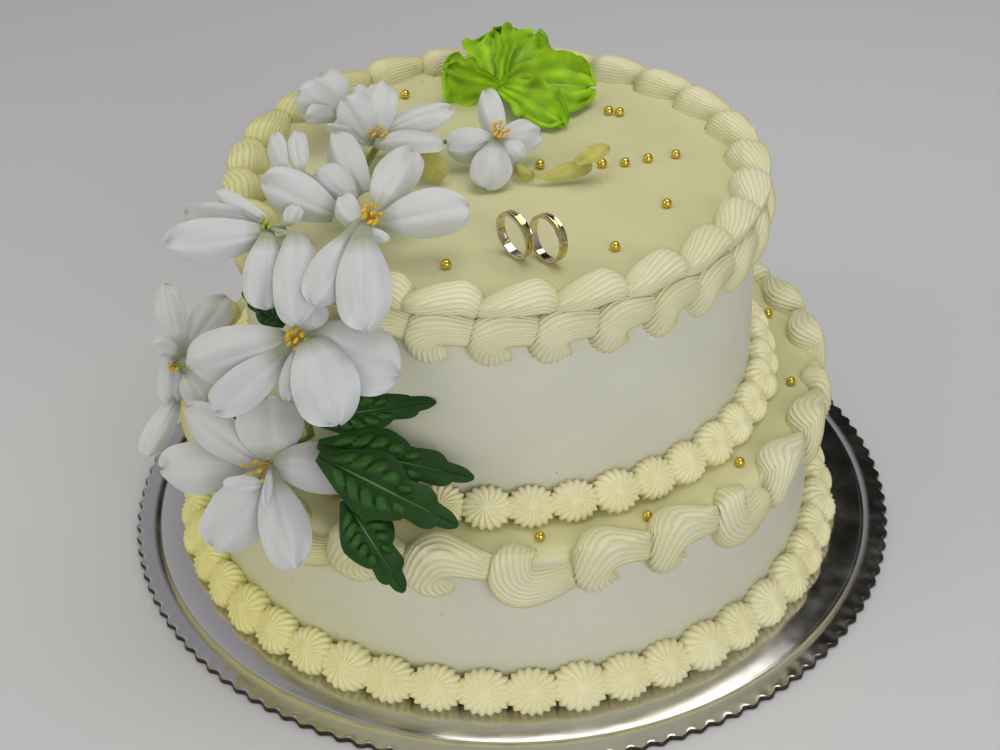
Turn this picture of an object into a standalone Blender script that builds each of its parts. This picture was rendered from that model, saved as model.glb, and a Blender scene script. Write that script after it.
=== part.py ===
"""Tiered wedding cake: two round buttercream tiers on a scalloped silver board, with piped borders, gold pearls, two wedding rings and a cascade of silk blossoms. All sizes are in millimetres and go through MM into metres. The origin is the middle of the board's underside, +Z is up and -Y is the front."""

import math

import bpy
from mathutils import Vector

MM = 0.001
GAP = 0.35  # clearance between neighbouring solids

BOARD_RADIUS = 200.0
BOARD_THICK = 3.0
BOARD_SCALLOPS = 125
BOARD_SCALLOP_DEPTH = 2.2

TIER_SEGMENTS = 48
LOWER_RADIUS = 157.0
LOWER_TOP = 87.0
LOWER_EDGE = 9.0
LOWER_X = -2.0
UPPER_RADIUS = 124.0
UPPER_FOOT_RADIUS = 126.0
UPPER_TOP = 194.0
UPPER_EDGE = 9.0
UPPER_X = -4.2

PEARL_RADIUS = 2.5
PEARL_SINK = 0.7
UPPER_PEARLS = (
    (-47.0, 80.8), (20.6, 1.4), (50.2, 1.3), (61.2, 1.9), (72.4, 5.6), (86.1, 9.2),
    (77.7, -38.7), (51.7, -76.5), (-22.4, -89.3), (56.6, 57.6), (62.0, 55.9),
)
LOWER_PEARLS = ((139.0, 32.8), (142.1, -29.8), (108.8, -94.6), (63.0, -132.4), (14.4, -145.6))

RING_OUTER = 11.0
RING_THICK = 1.5
RING_WIDTH = 4.4
RING_SEGMENTS = 22
RINGS = {
    "wedding_ring_left": ((3.5, -81.5), (-0.786, -0.614, -0.07)),
    "wedding_ring_right": ((17.8, -84.8), (-0.778, -0.626, 0.05)),
}

LOWER_ROSETTES = 47
LOWER_ROSETTE_TURN = -94.3
UPPER_ROSETTES = 42
UPPER_ROSETTE_TURN = -84.6
ROSETTE_STEPS = (0.0, 0.3, 0.7)

# A scroll is a row of stations along the piped strip: the inner and outer edge, each as distance along the tier and distance down over its edge, then the height.
EDGE_SCROLL = (
    ((26, 14), (26, 0), 3.5),
    ((9, 10.5), (7, -8.5), 8),
    ((-0.5, 12), (-12, -4), 9),
    ((-1.5, 14.5), (-17, 8.5), 8.5),
    ((1.5, 16.5), (-5, 25.5), 7.5),
    ((5.5, 14.5), (8.5, 22), 4),
)
SIDE_SCROLL = (
    ((19, 25), (19, 14.5), 3),
    ((6, 22.5), (4, 9.5), 6),
    ((-1, 24.5), (-11.5, 18), 6.5),
    ((-0.5, 27), (-7.5, 32), 6),
    ((4, 26.5), (5.5, 32.5), 3.5),
)
COMMA_SCROLL = (
    ((-15, 12.5), (-18, 3), 4),
    ((-3, 7.5), (-4, -9), 9),
    ((6, 4), (8, -13), 11),
    ((9.5, 3.5), (17, -5), 10.5),
    ((9, 6), (14, 8), 6),
)
LOWER_SCROLLS = 27
LOWER_SCROLL_TURN = -115.1
LOWER_SCROLL_HANDS = (1, 1, -1)
LOWER_SCROLL_MIDDLE = 8.5
SIDE_SCROLLS = 30
SIDE_SCROLL_TURN = -91.2
COMMA_SCROLLS = 25
COMMA_TURN = -86.0
SCROLL_GAP = 0.6
SCROLL_BEND = 7.0  # how near the edge a strip's height starts to lean over

PETAL_THICK = 1.0
LEAF_THICK = 1.2
HUB_RADIUS = 3.0
CLAW_LEAST = 13.0  # a blade that starts farther from its hub is joined to it by a narrow claw
STEM_RADIUS = 1.8
TWIG_RADIUS = 1.2

# Each spray is a hub, a kind of blade and its blades: base, tip, side direction, width, bow along the length and cup across it.
SPRAYS = {
    "blossom_bud": ((-81.9, 29.9, 211.3), "petal", (
        ((-81, 28.8, 209.6), (-99.5, 30, 222.1), (0.53, 0.42, 0.74), 19, 3, -8),
        ((-81.6, 35.3, 208.6), (-91.7, 51.5, 221.5), (0.84, 0.09, 0.54), 20, 2, -6),
        ((-81.4, 22.8, 211.5), (-95.2, 17.4, 214.5), (0.25, -0.11, 0.96), 12, 2, -5),
    )),
    "blossom_top": ((-62.2, -1.7, 211.3), "petal", (
        ((-61.2, -0.3, 213.2), (-58.5, 27.6, 228.8), (1.00, -0.09, -0.02), 17, 3, -4),
        ((-63.3, -5.2, 213.1), (-74.6, 0.8, 232.5), (0.87, 0.04, 0.49), 17, 3, -5),
        ((-56.8, 4.3, 212.9), (-25.1, 16.4, 219.4), (0.39, -0.72, -0.57), 15, 3, -4),
        ((-60.8, -7.3, 213.6), (-28.9, -11.1, 214.9), (-0.08, -0.88, -0.47), 13, 4, -4),
        ((-62.6, -4.5, 210.7), (-83.6, -3.2, 219.8), (0.36, -0.31, 0.88), 10, 2, -3),
        ((-66.2, 12.5, 214.2), (-71, 32.1, 224.8), (0.90, -0.02, 0.44), 9, 1, -2),
    )),
    "blossom_front": ((-60.3, -84.4, 216.7), "petal", (
        ((-55.1, -75.9, 218.3), (-41.7, -40.4, 227.2), (0.88, -0.23, -0.41), 19, 3, -5),
        ((-52.6, -85.4, 215.2), (-16, -79.9, 219.2), (0.17, -0.48, -0.86), 21, 4, -6),
        ((-64, -88, 214.9), (-72.5, -75.6, 222.4), (0.74, 0.11, 0.67), 12, 2, -3),
        ((-64.6, -93, 214.9), (-49.7, -99.7, 215.5), (-0.38, -0.87, -0.30), 6, 2, -2),
        ((-65.8, -103.1, 217.8), (-80.5, -125.6, 199.6), (-0.84, 0.12, 0.53), 18, 3, -6),
        ((-60.4, -107.5, 220.3), (-58.9, -134.4, 192), (-1.00, -0.08, 0.03), 23, 4, -5),
    )),
    "blossom_behind": ((-72, -52.5, 210.1), "petal", (
        ((-68.4, -59.6, 210.4), (-84.7, -45.8, 219.8), (0.69, 0.40, 0.60), 17, 4, -6),
        ((-64.7, -48.5, 208.8), (-79.7, -14.7, 222.4), (0.86, 0.19, 0.48), 17, 3, -5),
        ((-75.6, -69.3, 210.5), (-107.2, -58.9, 222.3), (0.42, 0.33, 0.84), 20, 4, -6),
        ((-92.6, -40.9, 216.4), (-95.8, -21.3, 227.1), (0.95, -0.02, 0.32), 10, 2, -3),
        ((-101, -39.1, 215.6), (-106.1, -20, 225.6), (0.91, 0.03, 0.41), 9, 2, -3),
    )),
    "blossom_left": ((-104.2, -80, 211.1), "petal", (
        ((-106.8, -73.5, 210), (-142, -66.8, 209.4), (0.05, 0.35, 0.94), 14, 3, -1),
        ((-104.6, -85.4, 210.3), (-146.5, -91.6, 208.8), (-0.08, 0.33, 0.94), 19, 4, -4),
        ((-103.9, -76, 209.8), (-128.2, -62.9, 218.4), (0.47, 0.35, 0.81), 9, 2, -3),
        ((-102.1, -91.6, 211.9), (-103.7, -112.3, 189.1), (-0.99, -0.08, 0.14), 19, 4, -5),
        ((-95, -77.8, 210.7), (-91.1, -71.4, 216.4), (0.91, -0.25, -0.33), 8, 1, -2),
        ((-89.2, -94.2, 215.1), (-87.7, -127.3, 192), (-0.99, -0.10, 0.07), 20, 4, -4),
    )),
    "blossom_middle": ((-91.1, -120.8, 178.7), "petal", (
        ((-96.2, -120.7, 178.7), (-139.3, -115.8, 161.8), (-0.31, 0.35, 0.89), 24, 4, -6),
        ((-97.4, -123, 172.1), (-127.3, -129.9, 148.3), (-0.64, 0.20, 0.74), 19, 3, -1),
        ((-82.9, -127.5, 183), (-71.6, -152.5, 157.4), (-0.95, -0.25, -0.18), 28, 5, -4),
        ((-82.3, -121.5, 181), (-46.7, -135, 170.1), (-0.43, -0.54, -0.73), 30, 4, -4),
        ((-88.8, -124.9, 176.3), (-94.1, -135.5, 157.5), (-0.93, -0.12, 0.33), 10, 2, -3),
        ((-87.7, -120.4, 184.4), (-82.9, -112.3, 194.2), (0.93, -0.17, -0.31), 18, 2, -2),
    )),
    "blossom_low": ((-106.6, -122.8, 114.6), "petal", (
        ((-106.1, -121, 117.1), (-108.6, -99.2, 134.5), (0.99, 0.14, -0.04), 30, 4, -6),
        ((-104.1, -124.4, 115.8), (-68.3, -121.9, 108.5), (-0.11, -0.62, -0.78), 23, 4, -6),
        ((-110.2, -129.7, 111.7), (-133.2, -140.7, 78.6), (-0.83, 0.24, 0.50), 27, 4, -6),
        ((-105.5, -132.3, 111.4), (-94.8, -158.6, 84), (-0.96, -0.26, -0.12), 22, 4, -5),
        ((-111.8, -121.2, 113.5), (-148, -95.6, 126), (0.59, 0.56, 0.58), 18, 3, -5),
        ((-119.3, -115.6, 107.6), (-160.6, -106.9, 99.4), (-0.03, 0.61, 0.79), 24, 3, -5),
        ((-109.3, -136, 113.2), (-125, -141.1, 116.5), (0.09, 0.33, 0.94), 8, 1, -2),
        ((-106, -130.9, 117), (-107.5, -143, 106.5), (-0.87, -0.26, 0.42), 5, 1, -1),
    )),
    "blossom_side": ((-157.4, -66.6, 129.4), "petal", (
        ((-153.5, -61, 137.3), (-162.2, -39.3, 158.1), (0.95, 0.29, 0.10), 13, 2, -3),
        ((-151.5, -59, 133.2), (-132.7, -37.9, 149.4), (0.77, -0.23, -0.60), 17, 2, -4),
        ((-155.8, -76.2, 115.5), (-169.4, -93.7, 97.5), (-0.80, 0.01, 0.59), 13, 2, -4),
        ((-153.7, -66.2, 136.9), (-164.9, -66.8, 143.1), (0.37, 0.58, 0.73), 9, 2, -3),
        ((-151.8, -68.2, 127), (-141.7, -81.1, 118.8), (-0.83, -0.43, -0.35), 14, 2, -3),
        ((-155.8, -61.2, 133.6), (-157.7, -76.7, 114.8), (-0.98, -0.10, 0.18), 15, 3, -4),
    )),
    "blossom_right": ((-3.9, 4.2, 208.7), "petal", (
        ((-3.9, 7.3, 206.1), (-9.3, 31.9, 220.5), (0.94, 0.01, 0.34), 13, 3, -4),
        ((-5.3, 3.2, 207.2), (-27.1, -0.7, 205.4), (-0.13, 0.29, 0.95), 17, 3, -5),
        ((-4.3, -4.6, 210.1), (-8.3, -24.9, 198.4), (-0.98, 0.09, 0.18), 19, 4, -5),
        ((-2.5, 3.2, 207.1), (17.1, 9.9, 209.7), (0.30, -0.58, -0.76), 16, 3, -5),
        ((-2.5, -1.3, 207.8), (8.7, -6.6, 203.5), (-0.49, -0.40, -0.78), 12, 2, -4),
    )),
    "leaf_upper": ((-80.3, -108.3, 129.9), "leaf", (
        ((-90.5, -106.9, 126.8), (-31.9, -123.9, 147.3), (0.09, -0.63, -0.77), 21, 2, -1),
    )),
    "leaf_middle": ((-73.9, -117.3, 117), "leaf", (
        ((-84.6, -125.3, 126.6), (-16, -141.2, 118.7), (-0.24, -0.66, -0.72), 25, 2, -2),
    )),
    "leaf_lower": ((-71.8, -122.4, 109.6), "leaf", (
        ((-83.7, -134.6, 127.1), (-23.1, -158.5, 106.2), (-0.46, -0.63, -0.62), 29, 2, -2),
    )),
    "leaf_bottom": ((-66.9, -145.4, 94), "leaf", (
        ((-73, -144.1, 110), (-46.5, -179.1, 87.4), (-0.84, -0.48, -0.25), 24, 2, -2),
    )),
    "leaf_small": ((-107.3, -96.5, 178.6), "leaf", (
        ((-97.8, -100.6, 172.7), (-116.8, -86.9, 182), (0.61, 0.39, 0.69), 11, 1, -2),
    )),
    "leaf_hidden": ((-121.7, -87.9, 115.9), "leaf", (
        ((-114.4, -89.3, 113.8), (-135.3, -85.4, 112.6), (0.04, 0.48, 0.88), 14, 1, -2),
    )),
    "leaf_bright": ((-2.2, 75.8, 202.9), "lobe", (
        ((-2.2, 75.2, 202.1), (-31.6, 81.2, 211), (0.27, -0.10, 0.96), 24, 3, 5),
        ((-2.2, 75.2, 202.1), (-5.9, 112.1, 216.7), (0.96, -0.01, 0.27), 24, 3, 5),
        ((-1.1, 75.8, 202.9), (17.1, 111.4, 215.5), (0.87, -0.32, -0.37), 24, 3, 5),
        ((-1.2, 75.2, 202.1), (47.6, 70.7, 202.2), (-0.06, -0.71, -0.70), 28, 3, 5),
        ((-1.2, 74.6, 201.3), (30.2, 38, 197.4), (-0.71, -0.56, -0.43), 20, 3, 5),
    )),
    "sprig": ((11.4, -14.8, 200.4), "bud", (
        ((13.2, -14.7, 197.1), (3.9, -9.3, 199.7), (0.33, 0.13, 0.93), 8, 2, -1),
        ((18.3, -16.2, 198.4), (40.5, -11.1, 202.1), (0.27, -0.73, -0.63), 8, 1, -2),
    )),
    "sprig_far": ((33.8, -14.9, 203.7), "bud", (
        ((32.7, -17.9, 206.3), (48.6, -6, 209.2), (0.57, -0.64, -0.52), 8, 1, -1),
    )),
    "leaf_pale": ((-37.9, -6.9, 203.5), "bud", (
        ((-28.9, -15.3, 198.3), (-45.8, -3.6, 208.3), (0.61, 0.24, 0.75), 15, 2, -3),
    )),
}

# Each stem is its path and, for each twig, the number of the path point it leaves and the blossom it carries.
STEMS = {
    "stem_upper": (
        ((-62, 18, 198.5), (-70, -16, 198.5), (-76, -42, 200.5)),
        ((0, "blossom_top"), (0, "blossom_bud"), (0, "blossom_right"), (2, "blossom_behind")),
    ),
    "stem_lower": (
        ((-96, -94, 152), (-93, -97, 129), (-91, -100, 112)),
        ((0, "blossom_middle"), (0, "blossom_side"), (2, "blossom_low")),
    ),
}
TWIG_SHORT = 4.2
# Each pick is the foot of a wire pushed into the cream and the blossom that stands on it.
PICKS = {
    "pick_front": ((-60.3, -84.4, UPPER_TOP + GAP), "blossom_front"),
    "pick_left": ((-97, -74.5, 206), "blossom_left"),
}


def clear_scene():
    for obj in list(bpy.data.objects):
        bpy.data.objects.remove(obj, do_unlink=True)


def material(name, colour, roughness, metallic=0.0):
    made = bpy.data.materials.new(name)
    made.use_nodes = True
    shader = made.node_tree.nodes["Principled BSDF"]
    shader.inputs["Base Color"].default_value = (*colour, 1.0)
    shader.inputs["Roughness"].default_value = roughness
    shader.inputs["Metallic"].default_value = metallic
    made.diffuse_color = (*colour, 1.0)
    return made


def solid(name, points, faces, look=None):
    """A mesh object from points in millimetres."""
    mesh = bpy.data.meshes.new(name)
    mesh.from_pydata([[c * MM for c in p] for p in points], [], faces)
    mesh.validate()
    if look:
        mesh.materials.append(look)
    obj = bpy.data.objects.new(name, mesh)
    bpy.context.scene.collection.objects.link(obj)
    return obj


def fuse(base, pieces):
    """One Boolean union of the pieces onto base, applied, with the pieces then removed."""
    group = bpy.data.collections.new(base.name + "_pieces")
    bpy.context.scene.collection.children.link(group)
    for piece in pieces:
        bpy.context.scene.collection.objects.unlink(piece)
        group.objects.link(piece)
    union = base.modifiers.new("union", "BOOLEAN")
    union.operation = "UNION"
    union.operand_type = "COLLECTION"
    union.solver = "MANIFOLD"
    union.collection = group
    bpy.context.view_layer.update()
    mesh = bpy.data.meshes.new_from_object(base.evaluated_get(bpy.context.evaluated_depsgraph_get()))
    base.modifiers.remove(union)
    base.data = mesh
    for piece in pieces:
        bpy.data.objects.remove(piece, do_unlink=True)
    bpy.data.collections.remove(group)
    return base


def turned(name, profile, segments, centre_x, look):
    """A solid of revolution about a vertical axis, closed by flat ends."""
    points = [
        (centre_x + r * math.cos(2 * math.pi * k / segments), r * math.sin(2 * math.pi * k / segments), z)
        for r, z in profile
        for k in range(segments)
    ]
    faces = [tuple(reversed(range(segments)))]
    for row in range(len(profile) - 1):
        for k in range(segments):
            n = (k + 1) % segments
            faces.append((row * segments + k, row * segments + n, (row + 1) * segments + n, (row + 1) * segments + k))
    last = (len(profile) - 1) * segments
    faces.append(tuple(range(last, last + segments)))
    return solid(name, points, faces, look)


def wrapped(name, rows, look=None):
    """A closed ring of equal section polygons."""
    size, count = len(rows[0]), len(rows)
    faces = []
    for i in range(count):
        for k in range(size):
            a, b = i * size + k, i * size + (k + 1) % size
            c, d = ((i + 1) % count) * size + (k + 1) % size, ((i + 1) % count) * size + k
            faces.append((a, b, c, d))
    return solid(name, [p for row in rows for p in row], faces, look)


def swept(name, rows, look=None):
    """A closed solid through equal section polygons, with flat ends."""
    size = len(rows[0])
    faces = [tuple(range(size)), tuple(reversed(range((len(rows) - 1) * size, len(rows) * size)))]
    for i in range(len(rows) - 1):
        for k in range(size):
            n = (k + 1) % size
            faces.append((i * size + n, i * size + k, (i + 1) * size + k, (i + 1) * size + n))
    return solid(name, [p for row in rows for p in row], faces, look)


def edge_corner(radius, top, bevel):
    """Profile of a tier's bevelled top edge, which its border hides."""
    return [(radius, top - bevel), (radius - bevel, top)]


def make_board(look):
    points = []
    for z in (0.0, BOARD_THICK):
        for k in range(2 * BOARD_SCALLOPS):
            r = BOARD_RADIUS - (BOARD_SCALLOP_DEPTH if k % 2 else 0.0)
            a = math.pi * k / BOARD_SCALLOPS
            points.append((r * math.cos(a), r * math.sin(a), z))
    n = 2 * BOARD_SCALLOPS
    faces = [tuple(reversed(range(n))), tuple(range(n, 2 * n))]
    faces += [(k, (k + 1) % n, n + (k + 1) % n, n + k) for k in range(n)]
    return solid("board", points, faces, look)


def pearl(name, x, y, top):
    """A six-sided ball sunk a little into the cream."""
    z = top + PEARL_RADIUS - PEARL_SINK
    points = [(x, y, z - PEARL_RADIUS)]
    for lift in (-0.5, 0.5):
        for k in range(6):
            a = math.pi * k / 3
            flat = PEARL_RADIUS * math.cos(math.asin(lift))
            points.append((x + flat * math.cos(a), y + flat * math.sin(a), z + lift * PEARL_RADIUS))
    points.append((x, y, z + PEARL_RADIUS))
    faces = []
    for k in range(6):
        n = (k + 1) % 6
        faces += [(0, 1 + n, 1 + k), (1 + k, 1 + n, 7 + n, 7 + k), (7 + k, 7 + n, 13)]
    return solid(name, points, faces)


def make_tiers(look):
    lower = [(LOWER_RADIUS, BOARD_THICK + GAP)] + edge_corner(LOWER_RADIUS, LOWER_TOP, LOWER_EDGE)
    upper = [(UPPER_FOOT_RADIUS, LOWER_TOP + GAP), (UPPER_RADIUS, LOWER_TOP + 45)]
    upper += edge_corner(UPPER_RADIUS, UPPER_TOP, UPPER_EDGE)
    for name, profile, x, top, spots in (
        ("lower_tier", lower, LOWER_X, LOWER_TOP, LOWER_PEARLS),
        ("upper_tier", upper, UPPER_X, UPPER_TOP, UPPER_PEARLS),
    ):
        tier = turned(name, profile, TIER_SEGMENTS, x, look)
        fuse(tier, [pearl(f"{name}_pearl_{k}", x + px, py, top) for k, (px, py) in enumerate(spots)])


def rosette_ring(name, count, turn, centre_x, wall, floor, reach, rise, look):
    """A border of piped rosettes in the corner between a wall and a ledge, as one lobed ring."""
    rows = []
    for k in range(count):
        for step in ROSETTE_STEPS:
            b = math.sin(math.pi * step) ** 0.6 if step else 0.0
            section = (
                (0.0, 0.0),
                (0.74 * reach + 0.2 * reach * b, 0.0),
                (0.68 * reach + 0.32 * reach * b, 0.3 * rise + 0.14 * rise * b),
                (0.34 * reach + 0.22 * reach * b, 0.62 * rise + 0.36 * rise * b),
                (0.0, 0.66 * rise + 0.24 * rise * b),
            )
            a = math.radians(turn) + 2 * math.pi * (k - 0.5 + step) / count
            rows.append([
                (centre_x + (wall + GAP + r) * math.cos(a), (wall + GAP + r) * math.sin(a), floor + GAP + z)
                for r, z in section
            ])
    return wrapped(name, [row[::-1] for row in rows], look)


def over_edge(along, down, height, radius, top, centre_x, turn):
    """A point at this distance along a tier, down over its square edge and out from its surface."""
    lean = min(max(0.5 + down / (2 * SCROLL_BEND), 0.0), 1.0) * math.pi / 2
    r = radius + min(down, 0.0) + height * math.sin(lean)
    z = top - max(down, 0.0) + height * math.cos(lean)
    a = turn + along / radius
    return (centre_x + r * math.cos(a), r * math.sin(a), z)


def scroll(name, stations, place, bent=True):
    """One piped scroll on the surface that place maps onto, its underside bent over the tier's edge where it lies across that."""
    rows = []
    for (s0, q0), (s1, q1), height in stations:
        bend = q0 / (q0 - q1) if q0 * q1 < 0 else 0.5
        row = []
        for across, lift in ((0.0, SCROLL_GAP), (0.2, height), (0.8, height), (1.0, SCROLL_GAP), (bend, SCROLL_GAP))[: 5 if bent else 4]:
            row.append(place(s0 + (s1 - s0) * across, q0 + (q1 - q0) * across, lift))
        rows.append(row)
    return swept(name, rows)


def upright(obj):
    """Turns an inside-out solid the right way round."""
    mesh = obj.data
    mesh.calc_loop_triangles()
    volume = 0.0
    for tri in mesh.loop_triangles:
        a, b, c = (mesh.vertices[i].co for i in tri.vertices)
        volume += a.dot(b.cross(c))
    if volume < 0:
        mesh.flip_normals()
    return obj


def lower_edge_scrolls(look):
    pieces, middle = [], LOWER_SCROLL_MIDDLE
    for k in range(LOWER_SCROLLS):
        turn = math.radians(LOWER_SCROLL_TURN) + 2 * math.pi * k / LOWER_SCROLLS
        hand = LOWER_SCROLL_HANDS[k % len(LOWER_SCROLL_HANDS)]

        def place(along, down, height, turn=turn):
            return over_edge(along, down, height, LOWER_RADIUS, LOWER_TOP, LOWER_X, turn)

        stations = [
            ((s0, middle + hand * (q0 - middle)), (s1, middle + hand * (q1 - middle)), height)
            for (s0, q0), (s1, q1), height in EDGE_SCROLL
        ]
        pieces.append(upright(scroll(f"lower_scroll_{k}", stations, place)))
    base = pieces.pop(0)
    base.name = "lower_edge_border"
    base.data.materials.append(look)
    fuse(base, pieces)


def upper_edge_scrolls(look):
    pieces = []
    for k in range(SIDE_SCROLLS):
        turn = math.radians(SIDE_SCROLL_TURN) + 2 * math.pi * k / SIDE_SCROLLS

        def place(along, down, height, turn=turn):
            return over_edge(along, down, height, UPPER_RADIUS, UPPER_TOP, UPPER_X, turn)

        pieces.append(upright(scroll(f"side_scroll_{k}", SIDE_SCROLL, place, False)))
    for k in range(COMMA_SCROLLS):
        turn = math.radians(COMMA_TURN) + 2 * math.pi * k / COMMA_SCROLLS

        def place(along, down, height, turn=turn):
            return over_edge(along, down, height, UPPER_RADIUS, UPPER_TOP, UPPER_X, turn)

        pieces.append(upright(scroll(f"comma_{k}", COMMA_SCROLL, place)))
    base = pieces.pop(0)
    base.name = "upper_edge_border"
    base.data.materials.append(look)
    fuse(base, pieces)


def make_ring(name, foot, axis, look):
    """A flat wedding band standing on its edge."""
    axis = Vector(axis).normalized()
    side = axis.cross(Vector((0, 0, 1))).normalized()
    up = side.cross(axis).normalized()
    tilt = abs(axis.z) * RING_WIDTH / 2
    centre = Vector((foot[0], foot[1], UPPER_TOP + GAP + RING_OUTER * up.z + tilt))
    half = RING_WIDTH / 2
    rows = []
    for k in range(RING_SEGMENTS):
        a = 2 * math.pi * k / RING_SEGMENTS
        out = side * math.cos(a) + up * math.sin(a)
        rows.append([
            tuple(centre + out * r + axis * w)
            for r, w in ((RING_OUTER - RING_THICK, -half), (RING_OUTER, -half), (RING_OUTER, half), (RING_OUTER - RING_THICK, half))
        ])
    obj = upright(wrapped(name, rows, look))
    return obj


def half_width(u, kind):
    """Share of the full half width of a blade at this share of its length."""
    if kind == "leaf":
        base = 0.28 + 0.72 * math.sin(u / 0.35 * math.pi / 2) if u < 0.35 else ((1 - u) / 0.65) ** 0.75
        return base * (1 + 0.16 * math.cos(20.1 * u + 0.4)) / 1.1
    if kind == "lobe":
        base = 0.3 + 0.7 * math.sin(u / 0.6 * math.pi / 2) if u < 0.6 else math.sqrt(1 - ((u - 0.6) / 0.4) ** 2)
        return base * (1 + 0.08 * math.cos(25.1 * u))
    if u < 0.58:
        rise = (u / 0.58) ** 1.2
        return 0.3 + 0.7 * rise * (2 - rise)
    return math.sqrt(1 - ((u - 0.58) / 0.42) ** 2)


STATIONS = {
    "petal": (0.0, 0.4, 0.78, 0.98),
    "bud": (0.0, 0.4, 0.78, 0.98),
    "lobe": (0.0, 0.3, 0.55, 0.8, 0.985),
    "leaf": (0.0, 0.12, 0.3, 0.46, 0.62, 0.78, 0.92, 0.99),
}


def blade_rows(spec, kind):
    """The middle surface of a thin bowed and cupped blade, as rows of left, middle and right points, and the way that it faces."""
    base, tip, side, width, bow, cup = spec
    base, tip, side = Vector(base), Vector(tip), Vector(side).normalized()
    face = side.cross((tip - base).normalized())
    rows = []
    for u in STATIONS[kind]:
        half = half_width(u, kind) * width / 2
        middle = base.lerp(tip, u)
        arch = 4 * bow * u * (1 - u)
        edge = cup * math.sqrt(math.sin(math.pi * min(max(u, 0.02), 0.98)))
        rows.append([middle + side * (w * half) + face * (arch + edge * w * w) for w in (-1, 0, 1)])
    return rows, face


def skin(over, under, faces):
    """Faces of a blade between its point numbers over and under, open at its first row. Both faces are split into triangles alike."""
    for i in range(len(over) - 1):
        for k in (0, 1):
            a, b, c, d = over[i][k], over[i][k + 1], over[i + 1][k + 1], over[i + 1][k]
            faces += [(a, b, c), (a, c, d)]
            a, b, c, d = under[i][k], under[i][k + 1], under[i + 1][k + 1], under[i + 1][k]
            faces += [(a, c, b), (a, d, c)]
        faces.append((over[i + 1][0], under[i + 1][0], under[i][0], over[i][0]))
        faces.append((over[i][2], under[i][2], under[i + 1][2], over[i + 1][2]))
    for k in (0, 1):
        faces.append((over[-1][k], over[-1][k + 1], under[-1][k + 1], under[-1][k]))


def leaf(name, spec, kind, look):
    """A single thin blade."""
    rows, face = blade_rows(spec, kind)
    thick = LEAF_THICK if kind == "leaf" else PETAL_THICK
    points = [tuple(p + face * (thick / 2)) for row in rows for p in row]
    points += [tuple(p - face * (thick / 2)) for row in rows for p in row]
    over = [[3 * i + k for k in range(3)] for i in range(len(rows))]
    under = [[3 * len(rows) + n for n in row] for row in over]
    faces = []
    skin(over, under, faces)
    faces += [(over[0][k + 1], over[0][k], under[0][k], under[0][k + 1]) for k in (0, 1)]
    upright(solid(name, points, faces, look))


def flower(name, hub, specs, kind, look):
    """A hub with a blade growing out of each of its sides, as one closed mesh."""
    hub = Vector(hub)
    sheets = [blade_rows(spec, kind) for spec in specs]
    axis = sum((face for _, face in sheets), Vector()).normalized()
    ahead = axis.orthogonal().normalized()
    beside = axis.cross(ahead)
    entries = []
    for rows, face in sheets:
        if face.dot(axis) < 0:
            rows, face = [row[::-1] for row in rows], -face
        away = (rows[0][1].lerp(rows[-1][1], 0.25) - hub).normalized()
        entries.append((math.atan2(away.dot(beside), away.dot(ahead)), rows, face))
    entries.sort(key=lambda entry: entry[0])
    points, faces, rim_over, rim_under = [], [], [], []
    count = len(entries)
    for i, (angle, rows, face) in enumerate(entries):
        before = (angle - entries[i - 1][0]) % (2 * math.pi)
        after = (entries[(i + 1) % count][0] - angle) % (2 * math.pi)
        spread = (-min(0.42 * before, 0.6), 0.0, min(0.42 * after, 0.6))
        root = [hub + (ahead * math.cos(angle + a) + beside * math.sin(angle + a)) * HUB_RADIUS for a in spread]
        if (rows[0][1] - hub).length < CLAW_LEAST:
            rows = rows[1:]
        sheet = [(root, axis)] + [(row[::-1], face) for row in rows]
        numbers = []
        for sign in (1, -1):
            block = []
            for row, out in sheet:
                block.append([len(points) + k for k in range(3)])
                points += [tuple(p + out * (sign * PETAL_THICK / 2)) for p in row]
            numbers.append(block)
        over, under = numbers
        skin([row[::-1] for row in over], [row[::-1] for row in under], faces)
        rim_over += over[0]
        rim_under += under[0]
    for k in range(len(rim_over)):
        n = (k + 1) % len(rim_over)
        if n % 3 == 0:
            faces.append((rim_over[k], rim_under[k], rim_under[n], rim_over[n]))
    faces += [tuple(rim_over), tuple(reversed(rim_under))]
    upright(solid(name, points, faces, look))


def make_spray(name, hub, kind, specs, look):
    if len(specs) == 1:
        leaf(name, specs[0], kind, look)
    else:
        flower(name, hub, specs, kind, look)


def tube(name, path, radius, sides, look=None):
    """A round wire through these points."""
    path = [Vector(p) for p in path]
    side = (path[1] - path[0]).orthogonal().normalized()
    rows = []
    for i, p in enumerate(path):
        along = (path[min(i + 1, len(path) - 1)] - path[max(i - 1, 0)]).normalized()
        side = (side - along * side.dot(along)).normalized()
        other = along.cross(side)
        turns = (2 * math.pi * k / sides for k in range(sides))
        rows.append([tuple(p + (side * math.cos(a) + other * math.sin(a)) * radius) for a in turns])
    return upright(swept(name, rows, look))


def make_stems(look):
    """The wired branches behind the blossoms, with a twig up to each of them."""
    for name, (path, twigs) in STEMS.items():
        base = tube(name, path, STEM_RADIUS, 5, look)
        pieces = []
        for k, spray in twigs:
            start, hub = Vector(path[k]), Vector(SPRAYS[spray][0])
            reach = hub - start
            end = start + reach * (1 - TWIG_SHORT / reach.length)
            pieces.append(tube(f"twig_{spray}", (start, end), TWIG_RADIUS, 4))
        fuse(base, pieces)
    for name, (foot, spray) in PICKS.items():
        start, hub = Vector(foot), Vector(SPRAYS[spray][0])
        reach = hub - start
        tube(name, (start, start + reach * (1 - TWIG_SHORT / reach.length)), TWIG_RADIUS, 5, look)


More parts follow.
